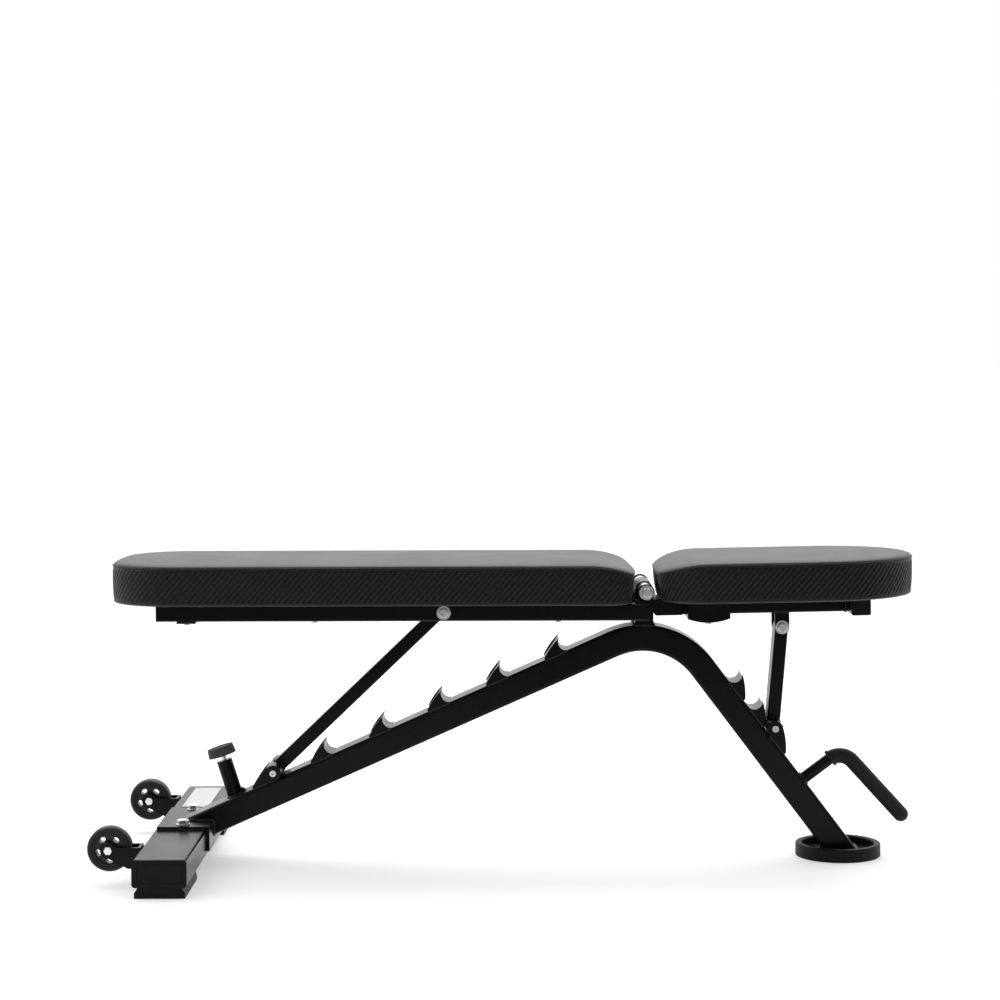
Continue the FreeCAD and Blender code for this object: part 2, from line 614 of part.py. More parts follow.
def wheel_tyre(side, sign):
    tyre = doc.addObject("PartDesign::Body", "wheel_tyre_" + side)
    tyre.Label = "wheel_tyre_" + side
    r0, r1, half = size("hub_radius"), size("wheel_radius"), size("wheel_width") / 2
    tread = [
        Part.LineSegment(Vector(r0, -half + 1, 0), Vector(r0 + 3, -half, 0)),
        Part.LineSegment(Vector(r0 + 3, -half, 0), Vector(r1 - 4, -half, 0)),
        arc_through((r1 - 4, -half), (r1 - 1.2, -half + 1.2), (r1, -half + 4)),
        Part.LineSegment(Vector(r1, -half + 4, 0), Vector(r1, half - 4, 0)),
        arc_through((r1, half - 4), (r1 - 1.2, half - 1.2), (r1 - 4, half)),
        Part.LineSegment(Vector(r1 - 4, half, 0), Vector(r0 + 3, half, 0)),
        Part.LineSegment(Vector(r0 + 3, half, 0), Vector(r0, half - 1, 0)),
        Part.LineSegment(Vector(r0, half - 1, 0), Vector(r0, -half + 1, 0)),
    ]
    turn = tyre.newObject("PartDesign::Revolution", "wheel_tyre_%s_turn" % side)
    turn.Profile = add_sketch(tyre, "wheel_tyre_%s_section" % side, tread, "XZ_Plane")
    turn.ReferenceAxis = (turn.Profile[0], ["V_Axis"])
    turn.Angle = 360
    tyre.Tip = turn
    tyre.Placement = Placement(Vector(size("wheel_x"), sign * size("wheel_y"), size("wheel_z")), across)


axles = []
for side, sign in SIDES:
    wheel_bracket(side, sign)
    wheel_hub(side, sign)
    wheel_tyre(side, sign)
    reach = size("wheel_width") / 2 + size("fork_gap") + size("fork_thick")
    bar = cross_cylinder("wheel_axle_bar_" + side, "wheel_axle", str(reach), "wheel_x", "wheel_z",
                         "%d * wheel_y" % sign)
    centre = Vector(size("wheel_x"), sign * size("wheel_y"), size("wheel_z"))
    heads = [hex_head("wheel_bolt_%s_%s" % (side, name), 11, 4, centre + Vector(0, way * reach, 0),
                      Vector(0, way, 0)) for name, way in (("inner", 1), ("outer", -1))]
    axles.append(fused("wheel_axle_" + side, [bar] + heads))
group("wheel_axles", axles)

# ---------------------------------------------------------------- backrest frame

rail_mid = size("rail_bottom") + size("rail_height") / 2
rail_top = size("rail_bottom") + size("rail_height")
lengthways = Rotation(Vector(0, 1, 0), 90)


def rail(label, start, end, y, width, tilt=None):
    """Rectangular tube along X."""
    base = Placement(Vector(start, y, rail_mid), lengthways)
    body = padded(label, section(size("rail_height"), width, 3), str(end - start), "XY_Plane",
                  base if tilt is None else tilt.multiply(base), centred=False)
    inner = section(size("rail_height") - 2 * size("rail_wall"), width - 2 * size("rail_wall"), 1.5)
    return pocketed(body, inner, str(end - start), "XY_Plane", centred=False, reverse=True)


for side, sign in SIDES:
    raw = rail("back_rail_%s_tube" % side, size("back_rail_start"), size("back_rail_end"),
               sign * size("back_rail_y"), size("rail_width"))
    drill = cross_cylinder("back_rail_%s_drill" % side, "pin_radius", "20", "back_pivot_x",
                           "rail_bottom + rail_height / 2", "%d * back_rail_y" % sign)
    cut("back_rail_" + side, raw, drill)

def plug_at(label, centre, axis_turn, width, height, tilt=None):
    """Plastic plug that closes a tube's end: a shallow domed face and a tongue inside the tube."""
    place = Placement(centre, axis_turn)
    place = place if tilt is None else tilt.multiply(place)
    wall_in = 2 * size("rail_wall") + 0.4
    head = padded(label + "_head", section(width, height, 3), "plug_head", "XY_Plane", place,
                  centred=False)
    tongue = padded(label + "_tongue", section(width - wall_in, height - wall_in, 1), "plug_tongue",
                    "XY_Plane", place, centred=False, reverse=True)
    return fused(label, [head, tongue])


plugs = []
for side, sign in SIDES:
    y = sign * size("back_rail_y")
    for end, x, turn in (("head", size("back_rail_start"), Rotation(Vector(0, 1, 0), -90)),
                         ("hinge", size("back_rail_end"), lengthways)):
        plugs.append(plug_at("back_plug_%s_%s" % (side, end), Vector(x, y, rail_mid), turn,
                             size("rail_height"), size("rail_width")))
for side, sign in SIDES:
    stop_foot = Vector(size("hinge_x") - 13.5, sign * (size("back_rail_y") + 5), rail_top)
    plugs.append(shaft("back_stop_" + side, "3.5", "5.5", stop_foot, Vector(0, 0, 1)))
group("back_rail_plugs", plugs)

inner_half = size("back_rail_y") - size("rail_width") / 2
box("back_head_plate", "28", str(2 * size("back_rail_y") + size("rail_width")), "3", "-495",
    str(-size("back_rail_y") - size("rail_width") / 2), "rail_bottom - 3")
box("back_cross_tube", "25", str(2 * inner_half), "rail_height", "135", str(-inner_half), "rail_bottom")

ears = []
hx, hz, boss = size("hinge_x"), size("hinge_z"), size("boss_radius")
ear_outline = [
    Part.LineSegment(Vector(hx - boss - 3, rail_top, 0), Vector(size("back_rail_end"), rail_top, 0)),
    Part.LineSegment(Vector(size("back_rail_end"), rail_top, 0), Vector(hx + boss, hz - 3, 0)),
    Part.LineSegment(Vector(hx + boss, hz - 3, 0), Vector(hx + boss, hz, 0)),
    arc_through((hx + boss, hz), (hx, hz + boss), (hx - boss, hz)),
    Part.LineSegment(Vector(hx - boss, hz, 0), Vector(hx - boss - 3, rail_top, 0)),
]
for side, sign in SIDES:
    ear = padded("back_ear_%s_plate" % side, ear_outline, "ear_thick", "XZ_Plane", along_y(sign * 89))
    hole = cross_cylinder("back_ear_%s_hole" % side, "axle_radius + running_gap", "10", "hinge_x",
                          "hinge_z", str(sign * 89))
    ears.append(cut("back_ear_" + side, ear, hole))
group("back_hinge_ears", ears)

pivot_bar = cross_cylinder("back_pivot_bar", "pin_radius", "back_rail_y + rail_width / 2",
                           "back_pivot_x", "rail_bottom + rail_height / 2")
pivot_ends = []
for side, sign in SIDES:
    face = Vector(size("back_pivot_x"), sign * (size("back_rail_y") + size("rail_width") / 2), rail_mid)
    washer = shaft("back_pivot_washer_" + side, "10.5", "2", face, Vector(0, sign, 0))
    head = hex_head("back_pivot_head_" + side, 13, 6, face + Vector(0, sign * 2, 0), Vector(0, sign, 0))
    pivot_ends += [washer, head]
fused("back_strut_bolt", [pivot_bar] + pivot_ends)

pad_bolts = []
for x, drop in ((-481, 3), (-290, 0), (73, 0)):
    for side, sign in SIDES:
        foot = Vector(x, sign * size("back_rail_y"), size("rail_bottom") - drop)
        dome = shaft("pad_bolt_%d_%s" % (x + 600, side), "5", "2.4", foot, Vector(0, 0, -1))
        pad_bolts.append(dome)
group("back_pad_bolts", pad_bolts)

# ---------------------------------------------------------------- pads

def end_side(tip, inward, half, corner, round_radius):
    """One bulged pad end from the near side to the far side: corner, long arc, corner."""
    reach = round_radius - corner
    offset = half - corner
    corner_x = tip + inward * (round_radius - math.sqrt(reach ** 2 - offset ** 2))
    middle_x = tip + inward * round_radius
    touch_x = middle_x + (corner_x - middle_x) * round_radius / reach
    touch_y = offset * round_radius / reach
    lead = math.atan2(offset, abs(middle_x - corner_x))
    bend = (lead + math.pi / 2) / 2
    bend_x = corner_x - inward * corner * math.cos(bend)
    bend_y = offset + corner * math.sin(bend)
    return corner_x, [
        arc_through((corner_x, -half), (bend_x, -bend_y), (touch_x, -touch_y)),
        arc_through((touch_x, -touch_y), (tip, 0), (touch_x, touch_y)),
        arc_through((touch_x, touch_y), (bend_x, bend_y), (corner_x, half)),
    ]


def plan_pad(label, pad, inset, bottom, thick, tilt):
    """Flat slab with the pad's plan outline, its ends bulged and its corners rounded."""
    x0, x1, ends = pad
    half = size("pad_width") / 2 - inset
    start_x, start = end_side(x0 + inset, 1, half, *(radius - inset for radius in ends[0]))
    stop_x, stop = end_side(x1 - inset, -1, half, *(radius - inset for radius in ends[1]))
    outline = start + stop + [
        Part.LineSegment(Vector(start_x, -half, 0), Vector(stop_x, -half, 0)),
        Part.LineSegment(Vector(start_x, half, 0), Vector(stop_x, half, 0)),
    ]
    base = Placement(Vector(0, 0, bottom), Rotation())
    return padded(label, outline, str(thick), "XY_Plane",
                  base if tilt is None else tilt.multiply(base), centred=False)


def cushion(label, pad, hinge_at_start, lift=0, tilt=None):
    """Upholstered block: plan outline crossed with a side outline, with a rebate for the board."""
    bottom, top = size("pad_bottom") + lift, size("pad_bottom") + size("pad_thick")
    slab = plan_pad(label + "_plan", pad, 0, bottom, top - bottom, tilt)
    hinge_end, far_end = (pad[0], pad[1]) if hinge_at_start else (pad[1], pad[0])
    outward = -1 if hinge_at_start else 1
    run, fall, soft, lean = size("hinge_fall_run"), size("hinge_fall"), 10, 4
    fall_radius = (run ** 2 + fall ** 2) / (2 * fall)
    half_drop = fall_radius - math.sqrt(fall_radius ** 2 - (run / 2) ** 2)
    crest = hinge_end - outward * run
    side_outline = [
        Part.LineSegment(Vector(far_end + outward * 2, bottom, 0),
                         Vector(hinge_end - outward * lean, bottom, 0)),
        Part.LineSegment(Vector(hinge_end - outward * lean, bottom, 0), Vector(hinge_end, top - fall, 0)),
        arc_through((hinge_end, top - fall), (hinge_end - outward * run / 2, top - half_drop), (crest, top)),
        Part.LineSegment(Vector(crest, top, 0), Vector(far_end + outward * soft, top, 0)),
        arc_through((far_end + outward * soft, top), (far_end + outward * 3, top - 3),
                    (far_end, top - soft)),
        Part.LineSegment(Vector(far_end, top - soft, 0), Vector(far_end + outward * 2, bottom, 0)),
    ]
    side = padded(label + "_side", side_outline, "pad_width + 10", "XZ_Plane", tilt)
    common = doc.addObject("Part::MultiCommon", label + "_block")
    common.Shapes = [slab, side]
    rebate = plan_pad(label + "_rebate", pad, size("board_inset") - 0.3, bottom - 1,
                      size("board_thick"), tilt)
    return cut(label, common, rebate)


def pad_end(prefix):
    return size(prefix + "_corner"), size(prefix + "_round")


back_pad = (size("back_pad_start"), size("back_pad_end"), (pad_end("head"), pad_end("back_hinge")))
seat_pad = (size("seat_pad_start"), size("seat_pad_end"), (pad_end("seat_hinge"), pad_end("front")))
cushion("back_cushion", back_pad, False)
plan_pad("back_board", back_pad, size("board_inset"), rail_top, size("board_thick"), None)
cushion("seat_cushion", seat_pad, True, size("slide_gap"), SEAT_TILT)
plan_pad("seat_board", seat_pad, size("board_inset"), rail_top + size("slide_gap"),
         size("board_thick"), SEAT_TILT)

# ---------------------------------------------------------------- seat frame

rail("seat_rail", size("seat_rail_start"), size("seat_rail_end"), 0, size("seat_rail_width"), SEAT_TILT)
front_tube = padded("seat_front_tube", section(size("seat_front_width"), size("rail_height"), 3),
                    "seat_front_length", "XY_Plane",
                    SEAT_TILT.multiply(Placement(
                        Vector(size("seat_rail_end") + size("seat_front_width") / 2, 0, rail_mid), across)))
pocketed(front_tube, section(size("seat_front_width") - 4, size("rail_height") - 4, 1.5),
         "seat_front_length + 2", "XY_Plane")

seat_plugs = []
for side, sign in SIDES:
    end = Vector(size("seat_rail_end") + size("seat_front_width") / 2,
                 sign * size("seat_front_length") / 2, rail_mid)
    seat_plugs.append(plug_at("seat_plug_" + side, end, Rotation(Vector(1, 0, 0), -90 * sign),
                              size("seat_front_width"), size("rail_height"), SEAT_TILT))
group("seat_tube_plugs", seat_plugs)

saddle_x0, saddle_x1, saddle_half = 269, 333, 60
saddle_low, saddle_sag = size("rail_bottom") - 4, 6


def saddle_profile(shrink):
    """Flat-sided outline with a curved underside."""
    x0, x1 = saddle_x0 + shrink, saddle_x1 - shrink
    low, high = saddle_low + shrink, rail_top - shrink
    return [
        Part.LineSegment(Vector(x0, high, 0), Vector(x0, low, 0)),
        arc_through((x0, low), ((x0 + x1) / 2, low - saddle_sag), (x1, low)),
        Part.LineSegment(Vector(x1, low, 0), Vector(x1, high, 0)),
        Part.LineSegment(Vector(x1, high, 0), Vector(x0, high, 0)),
    ]


saddle_shell = padded("seat_saddle_shell", saddle_profile(0), str(2 * saddle_half), "XZ_Plane", SEAT_TILT)
pocketed(saddle_shell, saddle_profile(3), str(2 * saddle_half - 6))
rail_slot = box("seat_saddle_slot", "80", "seat_rail_width", "rail_height + 10", "0", "0", "0",
                SEAT_TILT.multiply(Placement(
                    Vector(saddle_x0 - 8, -size("seat_rail_width") / 2, size("rail_bottom")), Rotation())))
cut("seat_saddle", saddle_shell, rail_slot)

down = SEAT_TILT.Rotation.multVec(Vector(0, 0, -1))
seat_bolts = []
for x, y, z in ((301, 48, saddle_low - saddle_sag), (525, 66, size("rail_bottom"))):
    for side, sign in SIDES:
        foot = SEAT_TILT.multVec(Vector(x, sign * y, z))
        seat_bolts.append(shaft("seat_pad_bolt_%d_%s" % (x, side), "5", "2.4", foot, down))
group("seat_pad_bolts", seat_bolts)

seat_ear_outline = [
    Part.LineSegment(Vector(hx - 8, hz - 10, 0), Vector(222, size("rail_bottom"), 0)),
    Part.LineSegment(Vector(222, size("rail_bottom"), 0), Vector(262, size("rail_bottom"), 0)),
    Part.LineSegment(Vector(262, size("rail_bottom"), 0), Vector(262, rail_top, 0)),
    Part.LineSegment(Vector(262, rail_top, 0), Vector(hx + boss, rail_top, 0)),
    Part.LineSegment(Vector(hx + boss, rail_top, 0), Vector(hx + boss, hz, 0)),
    arc_through((hx + boss, hz), (hx, hz + boss), (hx - boss, hz)),
    Part.LineSegment(Vector(hx - boss, hz, 0), Vector(hx - 8, hz - 10, 0)),
]
seat_ears = []
for side, sign in SIDES:
    y = sign * (size("seat_rail_width") + size("ear_thick")) / 2
    ear = padded("seat_ear_%s_plate" % side, seat_ear_outline, "ear_thick", "XZ_Plane",
                 SEAT_TILT.multiply(along_y(y)))
    hole = cross_cylinder("seat_ear_%s_hole" % side, "axle_radius + running_gap", "10", "hinge_x",
                          "hinge_z", str(y))
    seat_ears.append(cut("seat_ear_" + side, ear, hole))
group("seat_hinge_ears", seat_ears)

pivot = Vector(size("seat_pivot_x"), 0, size("seat_pivot_z"))
clevis_half = size("seat_strut_width") / 2 + 0.5
clevis_ears = []
level_pivot = SEAT_TILT.inverse().multVec(pivot)
px, pz = level_pivot.x, level_pivot.z
clevis_outline = [
    Part.LineSegment(Vector(px + 11, size("rail_bottom"), 0), Vector(px - 11, size("rail_bottom"), 0)),
    Part.LineSegment(Vector(px - 11, size("rail_bottom"), 0), Vector(px - 11, pz, 0)),
    arc_through((px - 11, pz), (px, pz - 11), (px + 11, pz)),
    Part.LineSegment(Vector(px + 11, pz, 0), Vector(px + 11, size("rail_bottom"), 0)),
]
for side, sign in SIDES:
    y = sign * (clevis_half + size("clevis_thick") / 2)
    ear = padded("seat_clevis_%s_plate" % side, clevis_outline, "clevis_thick", "XZ_Plane",
                 SEAT_TILT.multiply(along_y(y)))
    hole = cross_cylinder("seat_clevis_%s_hole" % side, "pin_radius", "10", "seat_pivot_x",
                          "seat_pivot_z", str(y))
    clevis_ears.append(cut("seat_clevis_" + side, ear, hole))
group("seat_clevis", clevis_ears)

clevis_outer = clevis_half + size("clevis_thick")
bolt_parts = [cross_cylinder("seat_bolt_bar", "pin_radius", str(clevis_outer), "seat_pivot_x", "seat_pivot_z")]
for side, sign in SIDES:
    face = pivot + Vector(0, sign * clevis_outer, 0)
    bolt_parts.append(shaft("seat_bolt_washer_" + side, "10.5", "2", face, Vector(0, sign, 0)))
    bolt_parts.append(hex_head("seat_bolt_head_" + side, 13, 6, face + Vector(0, sign * 2, 0),
                               Vector(0, sign, 0)))
fused("seat_strut_bolt", bolt_parts)

# ---------------------------------------------------------------- struts

def strut_tube(label, top, foot, width, trims):
    """Rectangular tube between two pivots, its ends coped to the sleeves."""
    length = (foot - top).Length
    direction = (foot - top).normalize()
    turn = Rotation(Vector(0, 1, 0).cross(direction), Vector(0, 1, 0), direction, "ZXY")
    body = padded(label + "_raw", section(size("strut_height"), width, 2.5), str(length), "XY_Plane",
                  Placement(top, turn), centred=False)
    pocketed(body, section(size("strut_height") - 2 * size("strut_wall"), width - 2 * size("strut_wall"), 1),
             str(length), "XY_Plane", centred=False, reverse=True)
    return cut(label, body, fused(label + "_trims", trims))


def foot_sleeve_and_pin(prefix, foot):
    """Thick sleeve that drops into a hook, and the pin through it."""
    x, z = str(foot.x), str(foot.z)
    cut(prefix + "_foot", cross_cylinder(prefix + "_foot_round", "sleeve_radius", "sleeve_half", x, z),
        cross_cylinder(prefix + "_foot_bore", "pin_radius", "sleeve_half + 1", x, z))
    bar = cross_cylinder(prefix + "_pin_bar", "pin_radius", "pin_half", x, z)
    dimples = [cross_cylinder("%s_pin_dimple_%s" % (prefix, side), "1.5", "3", x, z,
                              "%d * pin_half" % sign) for side, sign in SIDES]
    cut(prefix + "_pin", bar, fused(prefix + "_pin_dimples", dimples))


above_face = size("sleeve_radius") + size("rest_gap")
back_foot = on_beam(size("back_hook_first") + size("pin_ahead_back"), above_face)
back_top = Vector(size("back_pivot_x"), 0, rail_mid)
strut_tube("back_strut_tube", back_top, back_foot, size("back_strut_width"), [
    cross_cylinder("back_strut_cope_top", "top_sleeve_radius", "40", str(back_top.x), str(back_top.z)),
    cross_cylinder("back_strut_cope_foot", "sleeve_radius", "40", str(back_foot.x), str(back_foot.z))])
cut("back_strut_head",
    cross_cylinder("back_strut_head_round", "top_sleeve_radius", str(inner_half - 0.5),
                   "back_pivot_x", str(rail_mid)),
    cross_cylinder("back_strut_head_bore", "pin_radius + running_gap", "100", "back_pivot_x", str(rail_mid)))
foot_sleeve_and_pin("back_strut", back_foot)

last_hook = size("seat_hook_first") + 2 * size("seat_hook_pitch")
seat_foot = on_leg(last_hook - size("pin_ahead_seat"), above_face)
seat_width = size("seat_strut_width")
seat_raw = strut_tube("seat_strut_shank", pivot, seat_foot, seat_width, [
    cross_cylinder("seat_strut_bore", "pin_radius + running_gap", "40", "seat_pivot_x", "seat_pivot_z"),
    cross_cylinder("seat_strut_cope", "sleeve_radius", "40", str(seat_foot.x), str(seat_foot.z))])
seat_eye = cut("seat_strut_eye",
               cross_cylinder("seat_strut_eye_round", "strut_height / 2", "seat_strut_width / 2",
                              "seat_pivot_x", "seat_pivot_z"),
               cross_cylinder("seat_strut_eye_bore", "pin_radius + running_gap", "40",
                              "seat_pivot_x", "seat_pivot_z"))
fused("seat_strut_tube", [seat_raw, seat_eye])
foot_sleeve_and_pin("seat_strut", seat_foot)

# ---------------------------------------------------------------- export

NODES = (
    ["rear_tube", "rear_caps", "rear_feet", "saddle_bracket", "saddle_bolts", "data_plate", "main_beam"]
    + ["back_hook_%d" % n for n in range(1, 7)] + ["seat_hook_%d" % n for n in range(1, 4)]
    + ["hinge_post", "hinge_axle", "hinge_rings", "foot_disc", "foot_ring",
       "carry_handle", "handle_grip", "bumper_post", "bumper_stud", "bumper_head",
       "wheel_bracket_left", "wheel_bracket_right", "wheel_hub_left", "wheel_hub_right",
       "wheel_tyre_left", "wheel_tyre_right", "wheel_axles",
       "back_rail_left", "back_rail_right", "back_head_plate", "back_cross_tube", "back_hinge_ears",
       "back_rail_plugs", "back_strut_bolt", "back_pad_bolts", "back_cushion", "back_board",
       "back_strut_tube", "back_strut_head", "back_strut_foot", "back_strut_pin",
       "seat_rail", "seat_front_tube", "seat_tube_plugs", "seat_saddle", "seat_pad_bolts",
       "seat_hinge_ears", "seat_clevis", "seat_strut_bolt", "seat_cushion", "seat_board",
       "seat_strut_tube", "seat_strut_foot", "seat_strut_pin"])

doc.recompute()
faults = [obj.Label for obj in doc.Objects if "Invalid" in obj.State or "Error" in obj.State]
assert not faults, "failed objects: %s" % faults
by_label = {obj.Label: obj for obj in doc.Objects}
for node in NODES:
    shape = by_label[node].Shape
    assert not shape.isNull() and shape.isValid() and shape.Volume > 0, "bad shape: " + node

os.makedirs("parts", exist_ok=True)
for node in NODES:
    by_label[node].Shape.exportStep("parts/%s.step" % node)
print("%d nodes written" % len(NODES))
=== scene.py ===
"""Visual model of an adjustable weight bench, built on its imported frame. Metres, +Z up."""
import json
import math

import bpy
import numpy as np
from mathutils import Matrix, Vector


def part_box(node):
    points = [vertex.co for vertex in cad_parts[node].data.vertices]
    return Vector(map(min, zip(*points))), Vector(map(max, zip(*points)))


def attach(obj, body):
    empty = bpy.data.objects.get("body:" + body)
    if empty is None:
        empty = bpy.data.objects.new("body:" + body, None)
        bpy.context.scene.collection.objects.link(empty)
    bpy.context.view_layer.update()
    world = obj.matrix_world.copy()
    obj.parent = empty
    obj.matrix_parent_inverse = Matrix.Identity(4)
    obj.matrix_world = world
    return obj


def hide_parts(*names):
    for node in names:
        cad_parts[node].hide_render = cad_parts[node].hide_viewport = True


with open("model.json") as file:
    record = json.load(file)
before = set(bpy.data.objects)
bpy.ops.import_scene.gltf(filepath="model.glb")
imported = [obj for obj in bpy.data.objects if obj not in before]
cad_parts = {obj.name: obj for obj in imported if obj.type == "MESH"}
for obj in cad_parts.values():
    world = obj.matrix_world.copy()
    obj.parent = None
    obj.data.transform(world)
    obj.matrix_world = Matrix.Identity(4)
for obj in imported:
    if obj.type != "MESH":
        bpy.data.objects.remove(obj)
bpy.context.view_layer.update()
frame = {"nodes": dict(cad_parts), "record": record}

scene = bpy.context.scene
MM = 0.001
PIVOT = {joint["name"]: np.array(joint["pos_m"])
         for joint in frame["record"]["behaviour"]["joints"] if "pos_m" in joint}

# ---------------------------------------------------------------- camera


CAMERA_PLACE = (0.0054, -3.636, 0.7539)
YAW, PITCH, ROLL = 0.0051, 0.0564, -0.0034
SENSOR_MM, LENS_MM = 36.0, 85.8
FAR_CLIP = 500.0  # beyond the floor's far edge


def camera():
    """Long lens, almost level, looking across the bench along +Y."""
    level = math.cos(PITCH)
    right = Vector((math.cos(YAW), math.sin(YAW), 0))
    ahead = Vector((-math.sin(YAW) * level, math.cos(YAW) * level, -math.sin(PITCH)))
    up = right.cross(ahead)
    across = right * math.cos(ROLL) + up * math.sin(ROLL)
    upright = up * math.cos(ROLL) - right * math.sin(ROLL)
    turn = Matrix((across, upright, -ahead)).transposed().to_4x4()
    data = bpy.data.cameras.new("camera")
    data.sensor_width = SENSOR_MM
    data.lens = LENS_MM
    data.clip_end = FAR_CLIP
    cam = bpy.data.objects.new("camera", data)
    scene.collection.objects.link(cam)
    cam.matrix_world = Matrix.Translation(CAMERA_PLACE) @ turn
    scene.camera = cam


camera()

# ---------------------------------------------------------------- light and floor


def area(name, size_x, size_y, place, target, power):
    """Rectangular softbox aimed at a point."""
    data = bpy.data.lights.new(name, "AREA")
    data.shape = "RECTANGLE"
    data.size, data.size_y = size_x, size_y
    data.energy = power
    lamp = bpy.data.objects.new(name, data)
    scene.collection.objects.link(lamp)
    lamp.location = place
    lamp.rotation_euler = (Vector(target) - Vector(place)).to_track_quat("-Z", "Y").to_euler()


def ramp(tree, value, start, stop, low, high):
    """Smooth step from low to high as value goes from start to stop."""
    made = tree.nodes.new("ShaderNodeMapRange")
    made.interpolation_type = "SMOOTHSTEP"
    for key, number in (("From Min", start), ("From Max", stop), ("To Min", low), ("To Max", high)):
        made.inputs[key].default_value = number
    tree.links.new(value, made.inputs["Value"])
    return made.outputs[0]


def studio():
    """White cove: the light comes from above and behind, and the camera's side stays dim.
    Seen directly, the backdrop is plain white."""
    world = bpy.data.worlds.new("studio")
    scene.world = world
    world.use_nodes = True
    tree = world.node_tree
    tree.nodes.clear()
    new, link = tree.nodes.new, tree.links.new
    coord = new("ShaderNodeTexCoord")
    split = new("ShaderNodeSeparateXYZ")
    link(coord.outputs["Generated"], split.inputs[0])
    depth = ramp(tree, split.outputs["Y"], -0.35, 0.45, 0.20, 1.28)
    height = ramp(tree, split.outputs["Z"], 0.15, 0.75, 0.0, 0.55)
    total = new("ShaderNodeMath")
    total.operation = "ADD"
    link(depth, total.inputs[0])
    link(height, total.inputs[1])
    lit, seen = new("ShaderNodeBackground"), new("ShaderNodeBackground")
    mix = new("ShaderNodeMixShader")
    link(total.outputs[0], lit.inputs["Strength"])
    lit.inputs["Color"].default_value = (1, 1, 1, 1)
    seen.inputs["Color"].default_value = (1, 1, 1, 1)
    seen.inputs["Strength"].default_value = 1.0
    path = new("ShaderNodeLightPath")
    link(path.outputs["Is Camera Ray"], mix.inputs[0])
    link(lit.outputs[0], mix.inputs[1])
    link(seen.outputs[0], mix.inputs[2])
    link(mix.outputs[0], new("ShaderNodeOutputWorld").inputs[0])
    area("top_box", 2.6, 1.6, (0.0, 0.9, 2.3), (0, 0.1, 0.2), 42)
    area("left_box", 0.9, 1.4, (-2.2, -0.7, 1.3), (-0.4, 0, 0.2), 7)
    scene.view_settings.view_transform = "Standard"
    scene.view_settings.look = "None"


studio()

# ---------------------------------------------------------------- material nodes


class Shader:
    """Short hand for building a node material."""

    def __init__(self, name, **settings):
        self.material = bpy.data.materials.new(name)
        self.material.use_nodes = True
        self.tree = self.material.node_tree
        self.tree.nodes.clear()
        self.bsdf = self.node("ShaderNodeBsdfPrincipled")
        output = self.node("ShaderNodeOutputMaterial")
        self.tree.links.new(self.bsdf.outputs[0], output.inputs[0])
        for key, value in settings.items():
            self.bsdf.inputs[key.replace("_", " ")].default_value = value

    def node(self, kind, **inputs):
        made = self.tree.nodes.new(kind)
        for key, value in inputs.items():
            self.put(made, key.replace("_", " "), value)
        return made

    def put(self, made, key, value):
        """Links or sets one input, by its name or, as i0, i1 and so on, by its number."""
        numbered = key[0] == "i" and key[1:].isdigit()
        socket = made.inputs[int(key[1:])] if numbered else made.inputs[key]
        if isinstance(value, bpy.types.NodeSocket):
            self.tree.links.new(value, socket)
        else:
            socket.default_value = value

    def coords(self):
        """Object coordinates, in metres."""
        return self.node("ShaderNodeTexCoord").outputs["Object"]

    def noise(self, vector, scale, detail=3.0, rough=0.5):
        return self.node("ShaderNodeTexNoise", Vector=vector, Scale=scale, Detail=detail,
                         Roughness=rough).outputs["Fac"]

    def cells(self, vector, scale, feature="F1"):
        made = self.tree.nodes.new("ShaderNodeTexVoronoi")
        made.feature = feature
        self.put(made, "Vector", vector)
        self.put(made, "Scale", scale)
        return made.outputs["Distance"]

    def math(self, operation, first, second=0.0, third=0.0):
        made = self.tree.nodes.new("ShaderNodeMath")
        made.operation = operation
        self.put(made, "i0", first)
        self.put(made, "i1", second)
        self.put(made, "i2", third)
        return made.outputs[0]

    def spread(self, value, low, high, start=0.0, stop=1.0):
        """Value from low to high, mapped in a straight line to start to stop."""
        made = self.node("ShaderNodeMapRange", Value=value)
        for key, number in (("From Min", low), ("From Max", high), ("To Min", start), ("To Max", stop)):
            made.inputs[key].default_value = number
        return made.outputs[0]

    def blend(self, factor, first, second):
        """Colour between two greys or two colour sockets."""
        made = self.tree.nodes.new("ShaderNodeMix")
        made.data_type = "RGBA"
        self.put(made, "i0", factor)
        for key, value in (("i6", first), ("i7", second)):
            self.put(made, key, grey(value) if isinstance(value, float) else value)
        return made.outputs[2]

    def bump(self, height, strength, distance, base=None):
        made = self.node("ShaderNodeBump", Height=height, Strength=strength, Distance=distance)
        if base is not None:
            self.put(made, "Normal", base)
        return made.outputs[0]

    def rounded(self, radius):
        """Normals eased over sharp edges, as a file or a die leaves them."""
        made = self.tree.nodes.new("ShaderNodeBevel")
        made.samples = 4
        made.inputs["Radius"].default_value = radius
        return made.outputs[0]

    def edges(self, radius):
        """Mask that is one on sharp edges: where the eased normal leaves the true one."""
        dot = self.tree.nodes.new("ShaderNodeVectorMath")
        dot.operation = "DOT_PRODUCT"
        self.tree.links.new(self.rounded(radius), dot.inputs[0])
        self.tree.links.new(self.node("ShaderNodeNewGeometry").outputs["Normal"], dot.inputs[1])
        return self.spread(dot.outputs["Value"], 0.97, 0.75)

    def finish(self, color, rough, normal=None):
        self.put(self.bsdf, "Base Color", color)
        self.put(self.bsdf, "Roughness", rough)
        if normal is not None:
            self.put(self.bsdf, "Normal", normal)
        return self.material


def grey(value):
    return (value, value, value, 1.0)


